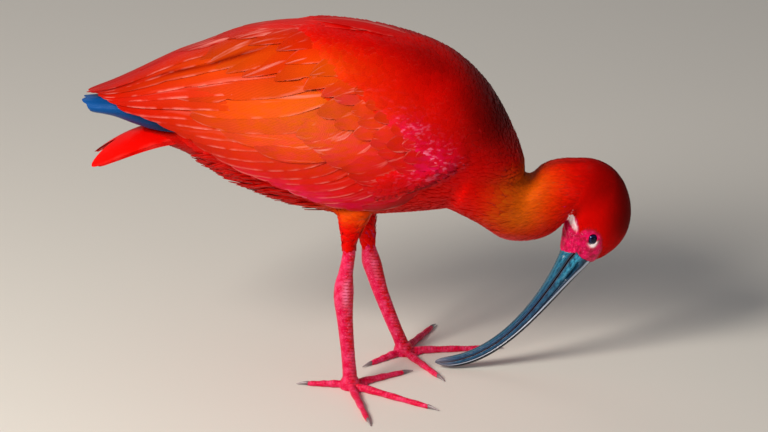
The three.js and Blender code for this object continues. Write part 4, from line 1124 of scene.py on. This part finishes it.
def mandible(name, edge, section, upper, finish):
    t = np.linspace(bill["start"], 1, bill["steps"])[:, None]
    share, wide = np.array(section).T
    rim, mouth = bezier(edge, t), bezier(bill["mouth"], t)
    mouth = mouth - unit(mouth - rim) * bill["mouthGap"]
    # Both halves run out to one point at the mouth line
    rounding = np.sqrt(np.clip(1 - np.clip((t - 0.9) / 0.1, 0, 1)**2, 0.01, 1))
    half = between(bill["width"], bill["tipWidth"], np.clip(t, 0, 1)**0.8)
    fine = np.interp(np.linspace(0, 1, 34), np.linspace(0, 1, len(share)), share)
    wideFine = np.interp(fine, share, wide)
    width = half * rounding * wideFine
    if upper:
        # The groove shallows towards the tip, and the nostril is a slit in it
        groove, slit = bill["groove"], bill["nostril"]
        width += half * 0.16 * bump(fine, groove["at"], groove["width"]) * smoothStep(t, 0.5, 0.95)
        opening = smoothStep(np.abs(t - slit["middle"]), slit["halfLength"] + 0.01, slit["halfLength"] - 0.01)
        width -= slit["depth"] * opening * bump(fine, slit["share"], slit["width"])
    # The horn runs on over the face up to its edge there, and sinks under the skin past it
    spots = between(between(mouth, rim, rounding)[:, None], mouth[:, None], fine[:, None])
    x, z = spots[..., 0], spots[..., 1]
    past = z - np.interp(x, neckForm[-1, [2, 0]], neckForm[-1, [3, 1]])
    sunk = 2.6 * smoothStep(overHorn(x, z), -0.1, 1.0) + half * (1 - wideFine) * smoothStep(fine, 0.8, 1.0)
    onFace = headWidthAt(spots.reshape(-1, 2)).reshape(x.shape) + bill["overFace"] - sunk
    width = between(width, onFace, smoothStep(past, -3, 0.5) * smoothStep(fine, 0.02, 0.2))
    rings = np.concatenate([stacked(x, width, z), stacked(x, -width, z)[:, :0:-1]], axis=1)
    place = stacked(np.concatenate([fine, fine[:0:-1]]), t, float(upper)).reshape(-1, 3)
    return newPiece(name, loft(rings), finish, place=place)


# Horn of the bill: waxy and mottled, teal at the face, then blue and slate, with a dark groove, and painted highlights:
# bright patches near the face and a pale line on its ridge
def billMaterial():
    material, add, shade = newMaterial("horn of the bill", Roughness=0.27, Specular_IOR_Level=0.4)
    share, along, isUpper = add("SeparateXYZ", [add("Attribute", attribute_name="place").outputs["Vector"]]).outputs
    place = add("TexCoord").outputs["Object"]
    stretch = add("Mapping", {"Vector": add("CombineXYZ", [share, along]), "Scale": (5.0, 30.0, 1.0)})
    streak = add("TexNoise", {"Vector": stretch, "Scale": 1.0, "Detail": 5.0, "Roughness": 0.65})
    # Painted highlights in bright patches: by the mouth on the upper half and across the lower, both near the face
    offMiddle = add("Math", [share, add("MapRange", [isUpper, 0.0, 1.0, 0.42, 0.74])], operation="SUBTRACT")
    bright = add("MapRange", [add("Math", [offMiddle], operation="ABSOLUTE"), 0.3, 0.05])
    nearFace = add("Math", [add("MapRange", [along, 0.24, 0.05, 0.12, 1.0]),
                            add("MapRange", [isUpper, 0.0, 1.0, 0.45, 1.0])], operation="MULTIPLY")
    for other in (nearFace, add("MapRange", [streak, 0.42, 0.6])):
        bright = add("Math", [bright, other], operation="MULTIPLY")
    # The pale line, a painted highlight, lies on the ridge at the face and further down the side towards the tip
    drift = add("Math", [add("MapRange", [along, 0.05, 0.6, 0.0, -0.55]), isUpper], operation="MULTIPLY")
    across = add("MapRange", [share, 0.0, 1.0, drift, 1.0])
    bands = []
    for half in billBands.values():
        band = add("ValToRGB", [across])
        bands.append(band.outputs)
        while len(band.color_ramp.elements) < len(half):
            band.color_ramp.elements.new(0.5)
        for element, (position, shown, cover) in zip(band.color_ramp.elements, half):
            element.position, element.color = position, toLinear(shown, cover)
    (upperColour, upperCover), (lowerColour, lowerCover) = bands
    covered = add("Mix", {0: isUpper, 2: lowerCover, 3: upperCover})
    colour = rgba("billTeal")
    for share, over in (
            (add("MapRange", [along, 0.03, 0.35]), rgba("billBlue")),
            (add("MapRange", [streak, 0.5, 0.34, 0.0, 0.65]), rgba("billSlate")),
            (bright, rgba("billLight")),
            (add("MapRange", [streak, 0.55, 0.7, 0.0, 0.4]), rgba("billTip")),  # fine pale streaks along the horn
            (covered, add("MixRGB", [isUpper, lowerColour, upperColour])),
            (add("MapRange", [along, 0.88, 1.0, 0.0, 0.75]), rgba("billTip"))):
        colour = add("MixRGB", [share, colour, over])
    pores = add("TexNoise", {"Vector": place, "Scale": 900.0, "Detail": 3.0})  # pores of 1 mm
    rough = add("Math", [streak, 1.6, pores], operation="MULTIPLY_ADD")
    shade({"Base Color": colour, "Normal": add("Bump", {"Height": rough, "Distance": 0.00025, "Strength": 0.5})})
    return material


billHorn = billMaterial()
billPieces = [mandible("bill_upper_horn", bill["culmen"], bill["upperSection"], True, billHorn),
              mandible("bill_lower_horn", bill["lowerEdge"], bill["lowerSection"], False, billHorn)]

# Eyes

eyeSizes = {"rings": 40, "around": 56, "lookOut": math.radians(12), "cornea": 0.22}


# Rings from the middle of the pupil back round the ball, which looks outwards and a little forwards
def eyeball(side, name, finish):
    turn = np.linspace(0.0, np.pi, eyeSizes["rings"] + 2)[1:-1]
    radius = eye["radius"] - 0.05 + eyeSizes["cornea"] * smoothStep(np.degrees(turn), 42, 0)
    look = np.array((math.sin(eyeSizes["lookOut"]), side * math.cos(eyeSizes["lookOut"]), 0))
    up = np.array((0, 0, 1))
    centre = np.array(eye["centre"]) * (1, side, 1)
    rings = [ringOf(centre + look * r * math.cos(a), r * math.sin(a), up, np.cross(look, up), eyeSizes["around"])
             for a, r in zip(turn, radius)]
    return newPiece(name, loft(rings), finish, fromPupil=np.repeat(np.degrees(turn), eyeSizes["around"]))


# The eye: a dark wet ball, black in the middle, with a blue sheen of the iris round it
def eyeMaterial():
    material, add, shade = newMaterial("wet dark eye", Roughness=0.03, IOR=1.5, Specular_Tint=rgba("eyeGloss"))
    fromPupil = add("Attribute", attribute_name="fromPupil").outputs["Fac"]
    place = add("TexCoord").outputs["Object"]
    fibre = add("TexNoise", {"Vector": place, "Scale": 1600.0, "Detail": 3.0})  # fibres of 0.6 mm
    iris = add("MixRGB", [fibre, rgba("iris"), rgba("irisLight")])
    colour = add("MixRGB", [add("MapRange", [fromPupil, 30.0, 33.0]), rgba("pupil"), iris])
    shade({"Base Color": add("MixRGB", [add("MapRange", [fromPupil, 48.0, 54.0]), colour, rgba("eyeRim")])})
    return material


wetEye = eyeMaterial()
eyePieces = {key: eyeball(side, "eyeball_" + key, wetEye) for side, key in sides}

# Legs and feet

foot = {"ball": 7.4, "ballHeight": 10.0, "radius": 3.0, "tipRadius": 1.8, "joints": 3, "swell": 0.08, "sink": 0.82,
        "root": 8.3, "scute": 2.3, "shinScute": 2.4, "relief": 0.24, "voxel": 0.5}
web = {"root": 4, "reach": 11.5, "alongToes": 7.0, "rimHeight": 1.5, "rootHeight": 3.5}
claw = {"length": 8.0, "radius": 1.55, "tipRadius": 0.3, "narrowing": 0.8, "tipHeight": 0.9, "gap": 0.3, "around": 20}
upwards = np.array((0, 0, 1))


# The level way that a heading points, and the way to its side
def waysOf(heading):
    turn = math.radians(heading)
    return np.array((math.cos(turn), math.sin(turn), 0)), np.array((-math.sin(turn), math.cos(turn), 0))


def aboveFloor(rings, height):
    return np.maximum(rings, (-np.inf, -np.inf, floorLevel + height))


def toeLoft(leg, heading, length):
    way, aside = waysOf(heading)
    rings = []
    for t in np.linspace(-0.08, 1, 60):
        share = max(t, 0.0)
        taper = between(foot["radius"], foot["tipRadius"], share)
        radius = taper * (1 - foot["swell"] * math.cos(2 * math.pi * foot["joints"] * share))
        radius *= math.sqrt(max(1 - max((t - 0.97) / 0.06, 0)**2, 0.05))
        centre = leg["foot"] + way * between(foot["root"], length, t) + upwards * taper * foot["sink"]
        rings.append(ringOf(centre, radius, aside, upwards, 26))
    return loft(aboveFloor(rings, 0.02))


def ballLoft(leg):
    t, turn = np.linspace(0.001, 1, 24)[:, None], circle(40)
    radius = foot["ball"] * (1 - t**2.6 * 0.42) * np.sqrt(np.maximum(1 - np.maximum((t - 0.9) / 0.1, 0)**2, 0.05))
    x, y, z = leg["foot"]
    return loft(stacked(x + radius * np.cos(turn), y + radius * np.sin(turn), z + foot["ballHeight"] * t))


# Small webs between the toes' roots
def webLoft(leg, first, second):
    rings = []
    for share in np.linspace(0, 1, 14):
        way, aside = waysOf(leg["toes"][first][0] * (1 - share) + leg["toes"][second][0] * share)
        far = web["reach"] + web["alongToes"] * (share * 2 - 1)**2
        corners = ((web["root"], 0.3), (far, 0.3), (far, web["rimHeight"]), (web["root"], web["rootHeight"]))
        rings.append([leg["foot"] + way * reach + upwards * z for reach, z in corners])
    return loft(rings)


# Plates along a limb: 1 on a plate, 0 in the groove between two
def plates(along, spacing, groove):
    within = np.abs((along / spacing) % 1.0 - 0.5) * 2
    return 1 - smoothStep(within, 1 - groove, 1.0)


def legPiece(key):
    leg = legs[key]
    parts = [limbLoft(leg["shin"], 120, 40), ballLoft(leg), *(toeLoft(leg, *row) for row in leg["toes"].values()),
             webLoft(leg, "middle", "outer"), webLoft(leg, "middle", "inner")]
    made = remeshed("leg_skin_" + key, parts, foot["voxel"], 3)
    points, normals = formOf(made.data)
    x, y, z = points.T
    away = np.hypot(x - leg["foot"][0], y - leg["foot"][1])
    height = z - floorLevel
    onToe = smoothStep(away, 7, 10) * smoothStep(height, 9, 6.5)
    toePlates = plates(away + rng.random(), foot["scute"], 0.34)
    top = smoothStep(normals[:, 2], 0.05, 0.5)
    row = rowAt(leg["shin"], np.linspace(0, 1, 200) * (len(leg["shin"]) - 1))[::-1]
    around = np.arctan2(y - np.interp(z, row[:, 2], row[:, 1]), x - np.interp(z, row[:, 2], row[:, 0]))
    front = np.cos(around)
    shinPlates = plates(z + 0.35 * np.sin(around * 2 + 1) + 0.9 * front, foot["shinScute"], 0.3)
    backPlates = plates(z + 2.2 * around, foot["shinScute"] * 0.55, 0.4)
    facing = smoothStep(front, -0.35, 0.1)
    shin = shinPlates * facing + (0.45 + 0.55 * backPlates) * (1 - facing)
    plate = onToe * (top * toePlates + (1 - top) * 0.9) + (1 - onToe) * shin
    moved = (foot["relief"] * (plate - 1.0) + 0.12 * roughness(points, 0.6)) * smoothStep(height, 0.1, 0.8)
    movePoints(made.data, aboveFloor(points + normals * moved[:, None], 0))
    # The pale rings down the front of the ankle, and painted shade: the front of the leg, on the side away from the
    # light, redder
    ankle = leg["shin"][4][2]
    onAnkle = smoothStep(z, ankle - 12, ankle - 6) * smoothStep(z, ankle + 14, ankle + 6) * bump(around, -1.3, 0.42)
    setMarks(made.data, plate=plate, ankle=(0.6 if key == "r" else 0.25) * onAnkle,
             front=smoothStep(front, -0.3, 0.6) * (1 - 0.8 * onToe))
    made.data.materials.append(legSkin)
    return made


# Leg skin: dry horny plates, crimson with pink lights, painted redder on the shaded front, darker in the grooves
def legMaterial():
    material, add, shade = newMaterial("scaly leg skin", Roughness=0.28, Specular_Tint=rgba("skinGloss"),
                                       Specular_IOR_Level=0.28, Subsurface_Weight=0.06, Subsurface_Scale=0.4,
                                       Subsurface_Radius=(0.003, 0.001, 0.0008))
    plate, ankle, front = (add("Attribute", attribute_name=name).outputs["Fac"]
                           for name in ("plate", "ankle", "front"))
    place = add("TexCoord").outputs["Object"]
    blotch = add("TexNoise", {"Vector": place, "Scale": 240.0, "Detail": 4.0})  # blotches of 4 mm
    fleck = add("TexNoise", {"Vector": place, "Scale": 1100.0, "Detail": 2.0, "Distortion": 1.0})  # specks of 1 mm
    colour = rgba("leg")
    for share, over in ((front, "legRed"), (add("MapRange", [blotch, 0.42, 0.72, 0.0, 0.6]), "legLight"),
                        (add("MapRange", [fleck, 0.6, 0.72, 0.0, 0.55]), "faceLight"),
                        (add("Math", [add("MapRange", [plate, 0.3, 1.0]), ankle], operation="MULTIPLY"), "faceLight"),
                        (add("MapRange", [plate, 1.0, 0.2, 0.0, 0.5]), "legDark")):
        colour = add("MixRGB", [share, colour, rgba(over)])
    # Fine scales of 1 mm on every plate
    scales = add("TexVoronoi", {"Vector": place, "Scale": 900.0}, feature="DISTANCE_TO_EDGE").outputs["Distance"]
    relief = add("Bump", {"Height": add("MapRange", [scales, 0.0, 0.1]), "Distance": 0.00012, "Strength": 0.5})
    shade({"Base Color": colour, "Normal": relief})
    return material


def clawPiece(key):
    leg, parts = legs[key], []
    steps = np.linspace(-0.12, 1, 24)
    for heading, length in leg["toes"].values():
        way, aside = waysOf(heading)
        rings = []
        for t in steps:
            share = max(t, 0.0)
            radius = between(claw["radius"], claw["tipRadius"], share)
            height = between(foot["tipRadius"], claw["tipHeight"], share**2)
            middle = leg["foot"] + upwards * height + way * (length + claw["gap"] + claw["length"] * t)
            rings.append(ringOf(middle, radius, aside * claw["narrowing"], upwards, claw["around"]))
        parts.append(loft(aboveFloor(rings, 0.05)))
    along = np.tile(np.repeat(np.maximum(steps, 0), claw["around"]), len(parts))
    return newPiece("claws_" + key, joinedParts(parts), clawHorn, along=along)


# Claw horn: hard and smooth, grey, paler and clearer at the tip
def clawMaterial():
    material, add, shade = newMaterial("claw horn", Roughness=0.3, Coat_Weight=0.2, Coat_Roughness=0.2)
    along = add("Attribute", attribute_name="along").outputs["Fac"]
    place = add("TexCoord").outputs["Object"]
    grain = add("TexNoise", {"Vector": place, "Scale": 700.0, "Detail": 3.0})  # grain of 1.4 mm
    share = add("Math", [grain, 0.4, along], operation="MULTIPLY_ADD")
    shade({"Base Color": add("MixRGB", [share, rgba("claw"), rgba("clawTip")]),
           "Normal": add("Bump", {"Height": grain, "Distance": 0.0001, "Strength": 0.4})})
    return material


legSkin, clawHorn = legMaterial(), clawMaterial()
legPieces = {key: legPiece(key) for key in legs}
clawPieces = {key: clawPiece(key) for key in legs}
print("bill, eyes and legs made")

# The head's finer skin and the body's as one
with bpy.context.temp_override(active_object=bodySkin, selected_editable_objects=[bodySkin, headSkin]):
    bpy.ops.object.join()
bodySkin.name = "skin"

# What each piece is made of and stands for. All ride on the one body
pieces = [(bodySkin, "plumage", ("head", "torso", "neck_lower", "neck_upper", "thigh_r", "thigh_l")),
          (tailPiece, "tail_feather", ("tail",)),
          (billPieces[0], "bill_horn", ("bill_upper",)), (billPieces[1], "bill_horn", ("bill_lower",))]
pieces += [(piece, "plumage", ()) for piece in coatPieces]
for key in legs:
    toes = legs[key]["toes"]
    pieces += [(piece, "wing_feather", ()) for piece in wingPieces[key][1:]]
    pieces += [
        (wingPieces[key][0], "wing_feather", ("wing_" + key,)),
        (primaryPieces[key], "primary_feather", ("primaries_" + key,)),
        (eyePieces[key], "eye", ("eye_" + key,)),
        (legPieces[key], "leg_skin", ("shank_" + key, "tarsus_" + key, *(f"toe_{name}_{key}" for name in toes))),
        (clawPieces[key], "claw_horn", [f"claw_{name}_{key}" for name in toes])]
for piece, slot, nodes in pieces:
    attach(piece, "root")
    if nodes:
        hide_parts(*nodes)
